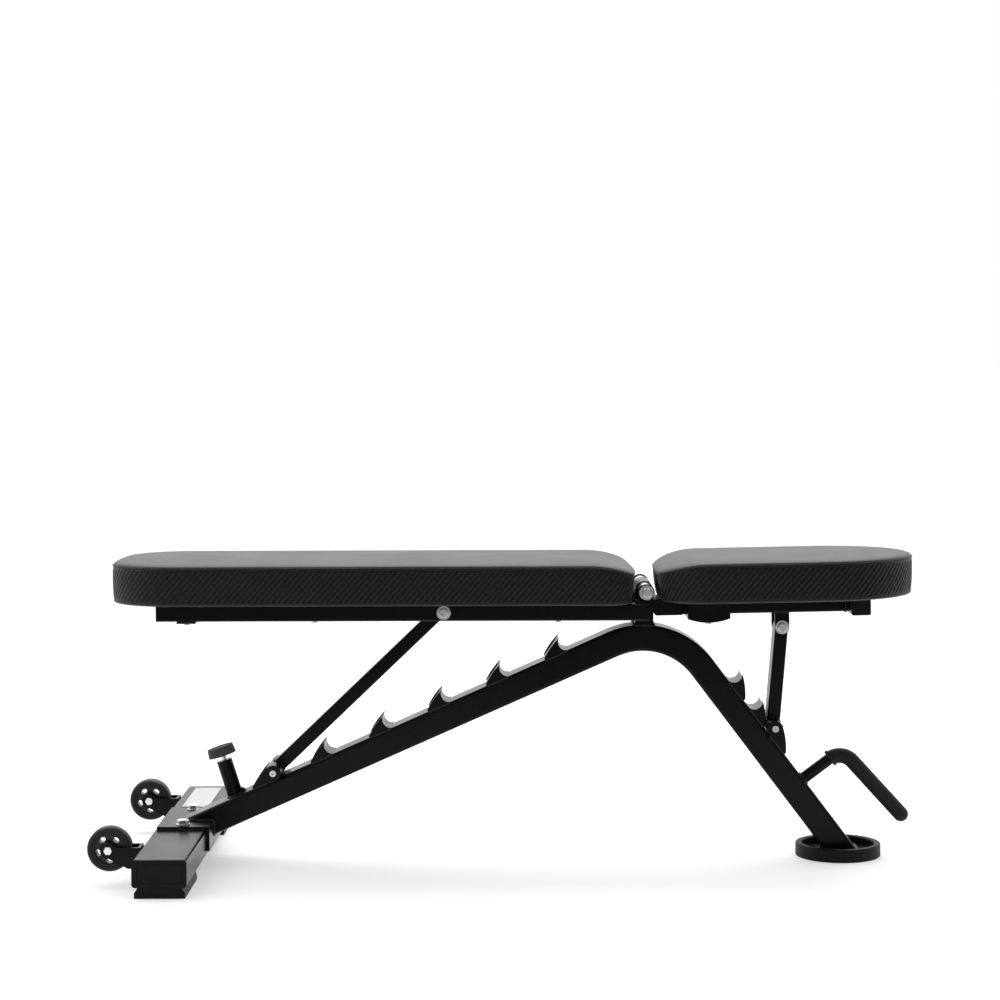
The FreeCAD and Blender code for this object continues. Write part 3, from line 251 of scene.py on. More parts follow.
def powder_coat():
    """Black polyester powder: fine orange peel, satin, faintly rubbed on the edges."""
    s = Shader("powder_coat", Specular_IOR_Level=0.12)
    at = s.coords()
    peel = s.noise(at, 620.0, 2.0)
    cloud = s.noise(at, 14.0, 4.0, 0.6)
    worn = s.math("MULTIPLY", s.edges(0.0011), s.spread(s.noise(at, 90.0, 3.0), 0.42, 0.68))
    color = s.blend(s.math("MULTIPLY", worn, 0.4), s.blend(cloud, 0.0038, 0.0062), 0.04)
    rough = s.math("ADD", s.spread(cloud, 0.3, 0.7, 0.23, 0.29), s.math("MULTIPLY", worn, -0.05))
    return s.finish(color, rough, s.bump(peel, 0.09, 0.0004, s.rounded(0.0010)))


def weld_coat():
    """The same powder over weld beads: glossier where it pooled."""
    s = Shader("weld_coat", Specular_IOR_Level=0.3)
    at = s.coords()
    color = s.blend(s.noise(at, 160.0), 0.005, 0.010)
    return s.finish(color, s.spread(s.noise(at, 300.0), 0.3, 0.7, 0.26, 0.38),
                    s.bump(s.noise(at, 900.0, 2.0), 0.2, 0.0004))


def vinyl_top():
    """Smooth black vinyl with a fine skin grain, pulled over foam."""
    s = Shader("vinyl_top", Specular_IOR_Level=0.42)
    at = s.coords()
    grain = s.math("ADD", s.cells(at, 900.0), s.math("MULTIPLY", s.cells(at, 420.0), 0.7))
    cloud = s.noise(at, 9.0, 5.0, 0.6)
    color = s.blend(cloud, 0.0085, 0.0125)
    rough = s.math("ADD", s.spread(cloud, 0.3, 0.7, 0.40, 0.47), s.math("MULTIPLY", grain, 0.05))
    return s.finish(color, rough, s.bump(grain, 0.22, 0.0004))


RIB_PITCH = 0.00665  # metres, square to the ribs
RIB_SLANT = math.radians(48.0)


def vinyl_band():
    """Embossed twill of slanted ribs, each crossed by fine threads. Its colour darkens in the grooves
    between the ribs as painted shade. The band map is in metres.
    """
    s = Shader("vinyl_band", Specular_IOR_Level=0.2)
    attribute = s.tree.nodes.new("ShaderNodeAttribute")
    attribute.attribute_name = "band"
    split = s.node("ShaderNodeSeparateXYZ", i0=attribute.outputs["Vector"])
    along, up = split.outputs[0], split.outputs[1]
    cos, sin = math.cos(RIB_SLANT), math.sin(RIB_SLANT)
    across_ribs = s.math("SUBTRACT", s.math("MULTIPLY", up, cos), s.math("MULTIPLY", along, sin))
    with_ribs = s.math("ADD", s.math("MULTIPLY", along, cos), s.math("MULTIPLY", up, sin))
    turn = 2 * math.pi / RIB_PITCH

    def wave(distance, rate):
        return s.spread(s.math("SINE", s.math("MULTIPLY", distance, rate)), -1.0, 1.0)

    rib = wave(across_ribs, turn)
    step = wave(with_ribs, turn * 0.5)
    thread, weft = wave(along, turn * 7), wave(up, turn * 7)
    woven = s.math("MULTIPLY", s.math("ADD", thread, weft), 0.10)
    relief = s.math("ADD", s.math("ADD", rib, s.math("MULTIPLY", step, 0.25)), woven)
    patchy = s.spread(s.noise(s.coords(), 40.0), 0.2, 0.8, 0.7, 1.0)
    # painted shade: the colour follows the rib wave, nearly black in the grooves
    color = s.blend(s.math("MULTIPLY", rib, patchy), 0.0006, 0.0125)
    rough = s.spread(relief, 0.0, 1.4, 0.50, 0.37)
    return s.finish(color, rough, s.bump(relief, 0.85, 0.0009))


def piping():
    """Matt vinyl cord, for the piping and the hem."""
    s = Shader("piping", Specular_IOR_Level=0.25)
    at = s.coords()
    color = s.blend(s.noise(at, 120.0), 0.005, 0.009)
    rough = s.spread(s.noise(at, 300.0), 0.3, 0.7, 0.5, 0.6)
    return s.finish(color, rough, s.bump(s.cells(at, 1100.0), 0.2, 0.0003))


def black_board():
    """Painted plywood with its grain faintly showing along the bench."""
    s = Shader("painted_board", Specular_IOR_Level=0.3)
    at = s.coords()
    squeezed = s.node("ShaderNodeMapping", Vector=at, Scale=(1.0, 14.0, 14.0)).outputs[0]
    grain = s.noise(squeezed, 28.0, 6.0, 0.65)
    return s.finish(s.blend(grain, 0.006, 0.013), s.spread(grain, 0.3, 0.7, 0.5, 0.65),
                    s.bump(grain, 0.25, 0.0006))


def metal(name, level, low, high, grain):
    """Bright metal: its grey level, the range of its roughness and its grain. Its colour is darkened on
    sharp edges and corners as painted shade.
    """
    s = Shader(name, Metallic=1.0)
    at = s.coords()
    smear = s.noise(at, grain, 4.0, 0.6)
    # painted shade: sharp edges and corners are darkened towards 0.10
    edge_shade = s.math("MULTIPLY", s.edges(0.0008), 0.75)
    color = s.blend(edge_shade, s.blend(smear, level * 0.86, level), 0.10)
    return s.finish(color, s.spread(smear, 0.3, 0.7, low, high),
                    s.bump(s.noise(at, grain * 6, 2.0), 0.06, 0.0003, s.rounded(0.0006)))


def blank_plate():
    """Satin aluminium sheet, brushed along the tube."""
    s = Shader("blank_plate", Metallic=0.85)
    drawn = s.node("ShaderNodeMapping", Vector=s.coords(), Scale=(40.0, 1.0, 1.0)).outputs[0]
    brushed = s.noise(drawn, 60.0, 3.0)
    return s.finish(s.blend(brushed, 0.40, 0.52), s.spread(brushed, 0.3, 0.7, 0.34, 0.5),
                    s.bump(brushed, 0.1, 0.0002, s.rounded(0.0005)))


def rubber(name, dark, light, low, high, scale=500.0, strength=0.3, bevel=0.0012, level=0.35):
    """Moulded rubber, foam or plastic: two greys, a range of roughness, then the grain's scale and
    depth, the easing of its edges and its specular level."""
    s = Shader(name, Specular_IOR_Level=level)
    at = s.coords()
    cloud = s.noise(at, 25.0, 5.0, 0.65)
    fine = s.noise(at, scale, 3.0, 0.6)
    dust = s.math("MULTIPLY", s.spread(s.noise(at, 60.0, 4.0), 0.5, 0.8), 0.35)
    color = s.blend(dust, s.blend(cloud, dark, light), light * 2.0)
    return s.finish(color, s.spread(cloud, 0.3, 0.7, low, high),
                    s.bump(fine, strength, 0.0005, s.rounded(bevel)))


def floor_paint():
    """Pale floor, lit from within just enough to melt into the white backdrop."""
    s = Shader("floor_paint", Specular_IOR_Level=0.1, Emission_Color=grey(1.0), Emission_Strength=0.42)
    at = s.coords()
    return s.finish(s.blend(s.noise(at, 2.0, 4.0), 0.58, 0.60),
                    s.spread(s.noise(at, 40.0), 0.3, 0.7, 0.55, 0.65))


PAINT = {
    "powder_coat": powder_coat(),
    "board": black_board(),
    "chrome": metal("chrome_plate", 0.88, 0.22, 0.34, 60.0),
    "pin_steel": metal("turned_steel", 0.66, 0.20, 0.32, 120.0),
    "rubber": rubber("moulded_rubber", 0.003, 0.005, 0.45, 0.58, level=0.15),
    "tyre": rubber("tyre_rubber", 0.007, 0.010, 0.38, 0.50, 700.0, 0.15, 0.0006, 0.3),
    "hub": rubber("hub_plastic", 0.004, 0.006, 0.25, 0.36, 400.0, 0.10, 0.0008, 0.3),
    "cap": rubber("cap_plastic", 0.003, 0.0045, 0.40, 0.52, 1100.0, 0.30, 0.0010, 0.15),
    "grip": rubber("foam_grip", 0.006, 0.010, 0.60, 0.74, 1500.0, 0.5, 0.0010, 0.25),
    "bumper": rubber("bumper_rubber", 0.052, 0.068, 0.75, 0.88, 500.0, 0.25, 0.0016, 0.15),
    "plate": blank_plate(),
}
WELD, TOP, BAND, PIPING = weld_coat(), vinyl_top(), vinyl_band(), piping()

slot_of = {row["node"]: row["material_slot"] for row in frame["record"]["subparts"]}
for name, obj in frame["nodes"].items():
    if slot_of[name] in PAINT:
        obj.data.materials.clear()
        obj.data.materials.append(PAINT[slot_of[name]])

# ---------------------------------------------------------------- mesh helpers


def mesh_object(name, points, faces, material, smooth=True):
    """New object in the scene, its points in metres."""
    mesh = bpy.data.meshes.new(name)
    mesh.from_pydata([tuple(p) for p in points], [], [tuple(f) for f in faces])
    mesh.materials.append(material)
    mesh.validate()
    for polygon in mesh.polygons:
        polygon.use_smooth = smooth
    obj = bpy.data.objects.new(name, mesh)
    scene.collection.objects.link(obj)
    return obj


ODD_DIRECTION = (0.31, 0.87, 0.37)  # parallel to no path here


def tube_mesh(path, radii, sides=10, closed=False):
    """Points and faces of a round tube along path, each ring square to it. An open one is capped."""
    path = np.asarray(path, float)
    count = len(path)
    if closed:
        tangent = np.roll(path, -1, 0) - np.roll(path, 1, 0)
    else:
        tangent = np.gradient(path, axis=0)
    tangent /= np.linalg.norm(tangent, axis=1)[:, None]
    normal = np.cross(tangent[0], ODD_DIRECTION)
    normal /= np.linalg.norm(normal)
    points = []
    angles = np.linspace(0, 2 * math.pi, sides, endpoint=False)
    for i in range(count):
        normal = normal - tangent[i] * normal.dot(tangent[i])
        normal /= np.linalg.norm(normal)
        side = np.cross(tangent[i], normal)
        for angle in angles:
            points.append(path[i] + radii[i] * (normal * math.cos(angle) + side * math.sin(angle)))
    faces = []
    for i in range(count if closed else count - 1):
        k = (i + 1) % count
        shift = 0
        if closed and k == 0:
            ends = np.array(points[:sides]) - np.array(points[i * sides])
            shift = int(np.argmin(np.linalg.norm(ends, axis=1)))
        for j in range(sides):
            a, b = i * sides + j, i * sides + (j + 1) % sides
            c = k * sides + (j + 1 + shift) % sides
            d = k * sides + (j + shift) % sides
            faces.append((a, b, c, d))
    if not closed:
        faces.append(tuple(range(sides - 1, -1, -1)))
        faces.append(tuple(range((count - 1) * sides, count * sides)))
    return points, faces


def resampled(path, step):
    """The same broken line with evenly spaced points."""
    path = np.asarray(path, float)
    run = np.concatenate(([0], np.cumsum(np.linalg.norm(np.diff(path, axis=0), axis=1))))
    count = max(int(round(run[-1] / step)), 2) + 1
    where = np.linspace(0, run[-1], count)
    return np.stack([np.interp(where, run, path[:, k]) for k in range(3)], 1)


BEAD_STEP, RIPPLE = 0.7, 2.6  # between rings, and between ripples


def welds(name, body, runs):
    """Rippled weld beads along broken lines: (points, bead radius), all in millimetres."""
    points, faces = [], []
    for path, radius in runs:
        line = resampled(path, BEAD_STEP)
        run = np.arange(len(line)) * BEAD_STEP
        wander = 1 + 0.08 * np.sin(run * 0.37 + radius) + 0.05 * np.sin(run * 1.13)
        radii = radius * wander * (0.80 + 0.20 * np.abs(np.sin(math.pi * run / RIPPLE)))
        fade = np.minimum(1, np.minimum(run, run[-1] - run) / (1.6 * radius) + 0.35)
        p, f = tube_mesh(line, radii * fade)
        start = len(points)
        points += p
        faces += [tuple(start + i for i in face) for face in f]
    obj = mesh_object(name, np.array(points) * MM, faces, WELD)
    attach(obj, body)


# ---------------------------------------------------------------- cushions

# Heights are over the pad's underside, in millimetres.
PAD_BOTTOM, PAD_HALF = 400.0, 145.0
BAND_LOW, BAND_HIGH, PAD_SEAM = 5.4, 52.6, 55.5
RECESS_INSET, RECESS_ROOF = 13.9, 11.6
SHOULDER_INSET, SHOULDER_WIDTH = 1.0, 15.0
SHOULDER_LOW, SHOULDER_RISE, CROWN = 55.8, 6.2, 2.5
FALL, FALL_RUN = 15.8, 74.0  # how far the top drops at the hinge, and over what length
SIM_COLUMNS, QUICK_COLUMNS, FINE_STEP = 220, 420, 1.1  # points round the pad, and final spacing
RIB_RELIEF, RIB_FADE = 0.42, 4.0  # half a rib's depth, and how far from the band's edges it fades
PRESSURE_FRAMES = 16


def end_arcs(tip, inward, corner, long_radius):
    """Plan points of one pad end from its near side to its far side: corner, long arc, corner."""
    reach, offset = long_radius - corner, PAD_HALF - corner
    corner_x = tip + inward * (long_radius - math.sqrt(reach ** 2 - offset ** 2))
    lead = math.asin(offset / reach)
    points = []
    for angle in np.linspace(math.pi / 2, lead, 24):
        points.append((corner_x - inward * corner * math.cos(angle), -offset - corner * math.sin(angle)))
    for angle in np.linspace(lead, -lead, 60)[1:-1]:
        points.append((tip + inward * long_radius * (1 - math.cos(angle)), -long_radius * math.sin(angle)))
    return points + [(x, -y) for x, y in reversed(points[:24])]


def outline(pad, count):
    """Plan outline at even steps, counter-clockwise from above: points, outward normals, length."""
    x0, x1, start, stop = pad
    points = [((x0 + x1) / 2, -PAD_HALF)] + end_arcs(x1, -1, *stop) + end_arcs(x0, 1, *start)[::-1]
    points.append(points[0])
    path = np.array(points)
    run = np.concatenate(([0], np.cumsum(np.linalg.norm(np.diff(path, axis=0), axis=1))))
    where = np.arange(count) * run[-1] / count
    ring = np.stack([np.interp(where, run, path[:, k]) for k in range(2)], 1)
    tangent = np.roll(ring, -1, 0) - np.roll(ring, 1, 0)
    tangent /= np.linalg.norm(tangent, axis=1)[:, None]
    return ring, np.stack((tangent[:, 1], -tangent[:, 0]), 1), run[-1]


def profile():
    """Rings from the underside's middle line to the top's. Each is (share of the way to the edge, or
    None, inset from the edge, height, pin weight, part of the cover)."""
    recess = RECESS_ROOF
    rings = [(share, None, recess, 1.0, "under") for share in (0.0, 0.45, 0.8)]
    # the board's recess, the flat underside round it, and the hem rolled up to the band
    for inset, z in ((RECESS_INSET, recess), (13.5, 10.6), (13.4, 1.4), (12.6, 0.3), (5.0, 0.1),
                     (2.4, 0.6), (0.8, 1.8), (0.45, 3.2), (1.25, 4.4)):
        rings.append((None, inset, z, 1.0, "under"))
    for z in np.linspace(BAND_LOW, BAND_HIGH, 25):
        belly = math.sin(math.pi * (z - BAND_LOW) / (BAND_HIGH - BAND_LOW))
        rings.append((None, 0.9 - 0.7 * belly, z, 1.0 - 0.85 * belly, "band"))
    rings += [(None, 1.7, 54.0, 1.0, "under"), (None, 2.3, PAD_SEAM, 1.0, "seam"),
              (None, 1.7, 56.4, 1.0, "top")]
    for angle in np.linspace(15, 90, 7):
        a = math.radians(angle)
        inset = SHOULDER_INSET + SHOULDER_WIDTH * (1 - math.cos(a))
        rings.append((None, inset, SHOULDER_LOW + SHOULDER_RISE * math.sin(a), 0.3, "top"))
    crest = SHOULDER_LOW + SHOULDER_RISE
    for share in (0.86, 0.76, 0.66, 0.55, 0.44, 0.33, 0.22, 0.11, 0.0):
        rings.append((share, None, crest + CROWN * (1 - share ** 3), 0.0, "top"))
    return rings


PROFILE = profile()
PARTS = [part for *_, part in PROFILE]


def lay_rings(pad, hinge_end, lean):
    """Grid of points [ring, column, xyz] of the cover before it is stuffed, in mm, and the length
    round it. The cover is drawn down towards the end that meets the hinge."""
    x0, x1 = pad[:2]
    ring, normal, length = outline(pad, SIM_COLUMNS)
    spine = np.stack((np.clip(ring[:, 0], x0 + PAD_HALF, x1 - PAD_HALF), np.zeros(SIM_COLUMNS)), 1)
    hinge_tip = x1 if hinge_end > 0 else x0
    rows = []
    for share, inset, height, _, _ in PROFILE:
        in_recess = share is not None and height <= RECESS_ROOF
        if share is None:
            flat = ring - normal * inset
        else:
            edge = ring - normal * (RECESS_INSET if in_recess else SHOULDER_INSET + SHOULDER_WIDTH)
            flat = spine + (edge - spine) * share
        low = 1 - min(height, PAD_SEAM) / PAD_SEAM
        shift = np.zeros(SIM_COLUMNS)
        for end, amount in ((-1, lean[0]), (1, lean[1])):
            shift -= end * amount * low * np.clip(end * normal[:, 0], 0, 1) ** 2
        x = flat[:, 0] + shift * (1.0 if share is None else share)
        near = np.clip(1 - np.abs(x - hinge_tip) / FALL_RUN, 0, 1) ** 2
        sunk = np.zeros(SIM_COLUMNS) if in_recess else FALL * near * (1 - low)
        rows.append(np.stack((x, flat[:, 1], PAD_BOTTOM + height - sunk), 1))
    return np.array(rows), length


def stuffed(grid, name):
    """Cloth simulation: the cover is pinned along its seams and blown up from inside by the foam.
    Each point's move is then eased so that it stays under its part's limit."""
    rows, count = grid.shape[:2]
    points = grid.reshape(-1, 3) * MM
    cover = mesh_object(name + "_sim", points, grid_faces(rows, count), TOP)
    pins = cover.vertex_groups.new(name="pins")
    for row, (_, _, _, weight, _) in enumerate(PROFILE):
        if weight > 0.01:
            pins.add(list(range(row * count, (row + 1) * count)), weight, "REPLACE")
    cloth = cover.modifiers.new("cloth", "CLOTH").settings
    cloth.quality = 6
    cloth.mass = 0.25
    cloth.use_pressure = True
    cloth.uniform_pressure_force = 5.0
    cloth.tension_stiffness = cloth.compression_stiffness = 28
    cloth.shear_stiffness = 14
    cloth.bending_stiffness = 2.5
    cloth.effector_weights.gravity = 0.0
    cloth.vertex_group_mass = "pins"
    cloth.pin_stiffness = 4.0
    for step in range(PRESSURE_FRAMES):
        scene.frame_set(1 + step)
    shaped = cover.evaluated_get(bpy.context.evaluated_depsgraph_get())
    moved = np.zeros(rows * count * 3)
    shaped.data.vertices.foreach_get("co", moved)
    moved = moved.reshape(rows, count, 3) / MM
    bpy.data.objects.remove(cover)
    scene.frame_set(1)
    change = moved - grid
    size = np.linalg.norm(change, axis=2)[:, :, None]
    most = {"band": 1.0, "top": 2.4}
    limit = np.array([most.get(part, 0.0) for part in PARTS])[:, None, None]
    change *= limit / np.maximum(size + limit, 1e-9)
    return grid + change


def grid_faces(rows, count):
    """Quads between rings of count points, each ring closed."""
    faces = []
    for row in range(rows - 1):
        for k in range(count):
            n = (k + 1) % count
            faces.append((row * count + k, row * count + n, (row + 1) * count + n, (row + 1) * count + k))
    return faces


def finer(grid, columns):
    """Catmull-Rom resampling round the pad."""
    count = grid.shape[1]
    where = np.arange(columns) * count / columns
    k = np.floor(where).astype(int)
    t = (where - k)[None, :, None]
    p0, p1, p2, p3 = (grid[:, (k + shift) % count] for shift in (-1, 0, 1, 2))
    return 0.5 * (2 * p1 + (p2 - p0) * t + (2 * p0 - 5 * p1 + 4 * p2 - p3) * t ** 2
                  + (3 * p1 - p0 - 3 * p2 + p3) * t ** 3)


def ribbed(grid, length):
    """Raises the band's slanted ribs on the grid, and returns its outward directions and the band map:
    metres round the pad and up, scaled so that a whole number of ribs goes round."""
    rows, columns = grid.shape[:2]
    cos, sin = math.cos(RIB_SLANT), math.sin(RIB_SLANT)
    pitch = RIB_PITCH / MM
    ribs = round(length * sin / pitch)
    along = np.arange(columns) * length / columns * (ribs * pitch / (length * sin))
    forward = np.roll(grid, -1, 1) - np.roll(grid, 1, 1)
    outward = np.stack((forward[:, :, 1], -forward[:, :, 0], np.zeros((rows, columns))), 2)
    outward /= np.maximum(np.linalg.norm(outward, axis=2), 1e-9)[:, :, None]
    band_map = np.zeros(grid.shape)
    for row, (_, _, level, _, part) in enumerate(PROFILE):
        height = grid[row, :, 2] - PAD_BOTTOM
        band_map[row, :, 0], band_map[row, :, 1] = along * MM, height * MM
        if part == "band":
            phase = (height * cos - along * sin) / pitch
            ease = min((level - BAND_LOW) / RIB_FADE, (BAND_HIGH - level) / RIB_FADE, 1.0)
            grid[row] += outward[row] * (RIB_RELIEF * ease * np.sin(2 * math.pi * phase))[:, None]
    return outward, band_map


def paint_cover(cover, columns, band_map):
    """Gives the band its own material and stores the band map on the points."""
    cover.data.materials.append(BAND)
    paint = np.zeros(len(cover.data.polygons), int)
    for row, pair in enumerate(zip(PARTS, PARTS[1:])):
        if pair == ("band", "band"):
            paint[row * columns:(row + 1) * columns] = 1
    cover.data.polygons.foreach_set("material_index", paint)
    attribute = cover.data.attributes.new("band", "FLOAT_VECTOR", "POINT")
    attribute.data.foreach_set("vector", band_map.reshape(-1))


def cushion(name, node, body, pad, hinge_end, lean, tilt):
    """Foam pad in its cover: smooth top, piping, ribbed band, hem and a recess for the board. The pad
    is its two ends' X and, for each, the radii of its corners and of its long arc."""
    grid, length = lay_rings(pad, hinge_end, lean)
    grid = stuffed(grid, name)
    columns = int(length / FINE_STEP)
    grid = finer(grid, columns)
    outward, band_map = ribbed(grid, length)
    cover = mesh_object(name, grid.reshape(-1, 3) * MM, grid_faces(len(PARTS), columns), TOP)
    paint_cover(cover, columns, band_map)
    close_spines(cover)
    seam, hem = PARTS.index("seam"), PARTS.index("band") - 1
    for label, row, radius, proud in (("piping", seam, 1.5, 0.9), ("hem_stitch", hem, 0.55, 0.0)):
        path = (grid[row] + outward[row] * proud)[::2]
        p, f = tube_mesh(path, np.full(len(path), radius), 8, closed=True)
        line = mesh_object("%s_%s" % (name, label), np.array(p) * MM, f, PIPING)
        line.matrix_world = tilt
        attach(line, body)
    cover.matrix_world = tilt
    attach(cover, body)
    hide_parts(node)


def close_spines(cover):
    """Joins the doubled points along the middle lines of the top and the underside."""
    bpy.context.view_layer.objects.active = cover
    weld = cover.modifiers.new("weld", "WELD")
    weld.merge_threshold = 0.00005
    depsgraph = bpy.context.evaluated_depsgraph_get()
    mesh = bpy.data.meshes.new_from_object(cover.evaluated_get(depsgraph))
    cover.modifiers.remove(weld)
    cover.data = mesh


HINGE = Vector(PIVOT["back_hinge"])
SEAT_TILT = (Matrix.Translation(HINGE) @ Matrix.Rotation(math.radians(-1.0), 4, "Y")
             @ Matrix.Translation(-HINGE))
SEAT_LIFT = Matrix.Translation((0, 0, 0.0004))
cushion("back_pad", "back_cushion", "backrest", (-600.0, 192.0, (100.0, 683.0), (42.0, 1080.0)), 1,
        (1.0, 4.0), Matrix.Identity(4))
cushion("seat_pad", "seat_cushion", "seat_pad", (222.5, 615.4, (75.0, 1800.0), (140.0, 160.0)), -1,
        (4.0, 2.0), SEAT_TILT @ SEAT_LIFT)

# ---------------------------------------------------------------- weld beads

# The beam, its bend and the hooks' stations, as in the CAD model, in millimetres.
SLOPE, LEG_SLOPE, BUMPER_TILT = math.radians(23.8), math.radians(53.0), math.radians(17.3)
BEND = np.array((239.9, 0.0, 365.75))
BEAM_DIR = np.array((math.cos(SLOPE), 0, math.sin(SLOPE)))
BEAM_UP = np.array((-math.sin(SLOPE), 0, math.cos(SLOPE)))
LEG_DIR = np.array((math.cos(LEG_SLOPE), 0, -math.sin(LEG_SLOPE)))
LEG_OUT = np.array((math.sin(LEG_SLOPE), 0, math.cos(LEG_SLOPE)))
WIDE = np.array((0.0, 1.0, 0.0))
HALF_BEAM, BEND_RADIUS = 20.0, 113.0
BACK_HOOK_FIRST, BACK_HOOK_PITCH, BACK_HOOKS = -280.2, 97.56, 6
SEAT_HOOK_FIRST, SEAT_HOOK_PITCH, SEAT_HOOKS = -13.7, 51.7, 3
HOOK_FOOT = (-34.0, -15.0, 3.0)  # along the face from the hook's station
WHEEL_Y = PIVOT["wheel_left_spin"][1] / MM


def on_face(direction, normal, along, above=0.0):
    """Point over the outer face of the beam or the leg. Along is counted from the foot of the
    perpendicular that the origin drops on it."""
    return direction * along + normal * (BEND.dot(normal) + HALF_BEAM + above)


def lengthwise(back, front, z):
    """Line along the bench, in its middle plane."""
    return [(back, 0, z), (front, 0, z)]


def upright(x, low, high):
    """Line straight up, in the middle plane."""
    return [(x, 0, low), (x, 0, high)]


def crosswise(x, half, z):
    """Line from the near side to the far side."""
    return [(x, -half, z), (x, half, z)]


def both_sides(path, y, radius):
    """The same bead on the near and the far side."""
    return [([(p[0], sign * y, p[2]) for p in path], radius) for sign in (-1, 1)]


def ring_path(centre, first, second, count=40):
    """Ellipse about a centre from its two half axes."""
    angles = np.linspace(0, 2 * math.pi, count + 1)
    return [centre + first * math.cos(a) + second * math.sin(a) for a in angles]


def tilted(points):
    """Level seat-frame points (mm) turned with the seat."""
    return [tuple((SEAT_TILT @ (Vector(p) * MM)) / MM) for p in points]


def hook_beads(first, pitch, count, direction, normal, facing):
    """One bead along the foot of each hook's cheeks. Facing is -1 where the hooks open backwards."""
    runs = []
    for number in range(count):
        station = first + number * pitch
        path = [on_face(direction, normal, station + facing * s, -0.6) for s in HOOK_FOOT]
        runs += both_sides(path, 28.6, 2.1)
    return runs


def crest_beads():
    """Hinge post on the crest of the bend: both sides, then its back and front."""
    centre = BEND + (LEG_DIR - BEAM_DIR) / np.linalg.norm(LEG_DIR - BEAM_DIR) * (
        BEND_RADIUS / math.cos((SLOPE + LEG_SLOPE) / 2))
    outer = BEND_RADIUS + HALF_BEAM
    crest = []
    for x in np.linspace(190.5, 220.5, 7):
        crest.append((x, 0, centre[2] + math.sqrt(outer ** 2 - (x - centre[0]) ** 2)))
    runs = both_sides(crest, 28.8, 2.6)
    for x, _, z in (crest[0], crest[-1]):
        runs.append((crosswise(x, 27, z), 2.4))
    return runs


def saddle_beads():
    """Beam on its saddle bracket: along the bracket's top, down its front and across."""
    back, front, top, low = -498.7, -452.2, 61.4, 38.8
    runs = both_sides([(back, 0, top), (front, 0, top), (front, 0, low)], 30.2, 2.6)
    runs.append((crosswise(front + 0.4, 28, low - 0.2), 2.4))
    return runs


def foot_bead():
    """Round the leg's cut end, on the foot disc."""
    back, front, half, top = 483.7, 533.8, 30, 9.6
    corners = [(back, -half), (front, -half), (front, half), (back, half), (back, -half)]
    return [([(x, y, top) for x, y in corners], 2.6)]


def post_bead():
    """Round the bumper post's foot, which the beam's sloping face cuts."""
    root, radius = np.array((-422.0, 0, 95.7)), 12.3
    axis = np.array((-math.sin(BUMPER_TILT), 0, math.cos(BUMPER_TILT)))
    side = np.array((axis[2], 0, -axis[0]))
    path = []
    for p in ring_path(root, side * radius, WIDE * radius):
        path.append(p - axis * ((p - root).dot(BEAM_UP) / axis.dot(BEAM_UP)))
    return [(path, 2.0)]


def handle_bead():
    """Round the root of the carrying handle's stem."""
    root, radius = np.array((451.3, 0, 118.5)), 9.4
    return [(ring_path(root, LEG_DIR * radius, WIDE * radius), 2.3)]


def fork_beads():
    """Both cheeks of each wheel fork against the cross tube's back."""
    runs = []
    for sign in (-1, 1):
        for cheek in (-17.5, 17.5):
            y = sign * WHEEL_Y + cheek
            runs.append(([(-536.2, y, 28), (-536.2, y, 52)], 1.7))
    return runs


def bracket_end_beads():
    """The saddle bracket's two ends over the cross tube's top."""
    return both_sides(lengthwise(-528, -460, 56.6), 79.8, 1.8)


def frame_beads():
    runs = hook_beads(BACK_HOOK_FIRST, BACK_HOOK_PITCH, BACK_HOOKS, BEAM_DIR, BEAM_UP, 1)
    runs += hook_beads(SEAT_HOOK_FIRST, SEAT_HOOK_PITCH, SEAT_HOOKS, LEG_DIR, LEG_OUT, -1)
    return (runs + crest_beads() + saddle_beads() + foot_bead() + post_bead() + handle_bead()
            + fork_beads() + bracket_end_beads())


def backrest_beads():
    # the front cross tube's ends, inside the rails
    runs = both_sides(lengthwise(136, 159, 374.4), 80.4, 1.8)
    for x in (135.0, 160.0):
        runs += both_sides(upright(x, 375, 398), 80.2, 1.6)
    # the head plate under the rails, then the hinge ears on their front ends
    runs += both_sides(lengthwise(-494, -468, 373.9), 104.6, 1.2)
    for y in (86.2, 91.8):
        runs += both_sides(lengthwise(191, 207, 399.2), y, 1.4)
    return runs


def seat_beads():
    """On the seat rail: front tube, clevis, hinge ears and saddle."""
    runs = both_sides(upright(511.2, 376, 397), 29.6, 2.0)
    runs += both_sides(lengthwise(404, 426, 374), 25.3, 1.7)
    runs += both_sides(upright(262.3, 375.5, 397.5), 31.0, 1.9)
    runs += both_sides(lengthwise(269, 333, 373.9), 30.4, 1.6)
    runs.append((crosswise(511.2, 28, 373.9), 2.0))
    return [(tilted(path), radius) for path, radius in runs]


STRUT_HALF, SLEEVE, TOP_SLEEVE = 9.6, 12.0, 10.0


def strut_beads(top, foot, half_width, at_top):
    """Beads where a strut's rectangular tube meets its sleeves."""
    axis = (foot - top) / np.linalg.norm(foot - top)
    normal = np.cross(axis, WIDE)
    ends = [(foot, -axis, SLEEVE)] + ([(top, axis, TOP_SLEEVE)] if at_top else [])
    runs = []
    for centre, inward, radius in ends:
        step = math.sqrt(max(radius ** 2 - STRUT_HALF ** 2, 4.0))
        for face in (-1, 1):
            mid = centre + inward * step + normal * (STRUT_HALF + 0.3) * face
            runs.append(([mid - WIDE * half_width, mid + WIDE * half_width], 1.8))
            lower = centre + inward * radius + WIDE * (half_width - 0.2) * face
            runs.append(([lower - normal * 8.5, lower + inward * 0.4, lower + normal * 8.5], 1.6))
    return runs


def sleeve_centre(direction, normal, along):
    """Centre of a strut's foot sleeve lying in a hook."""
    return on_face(direction, normal, along, SLEEVE + 0.4)


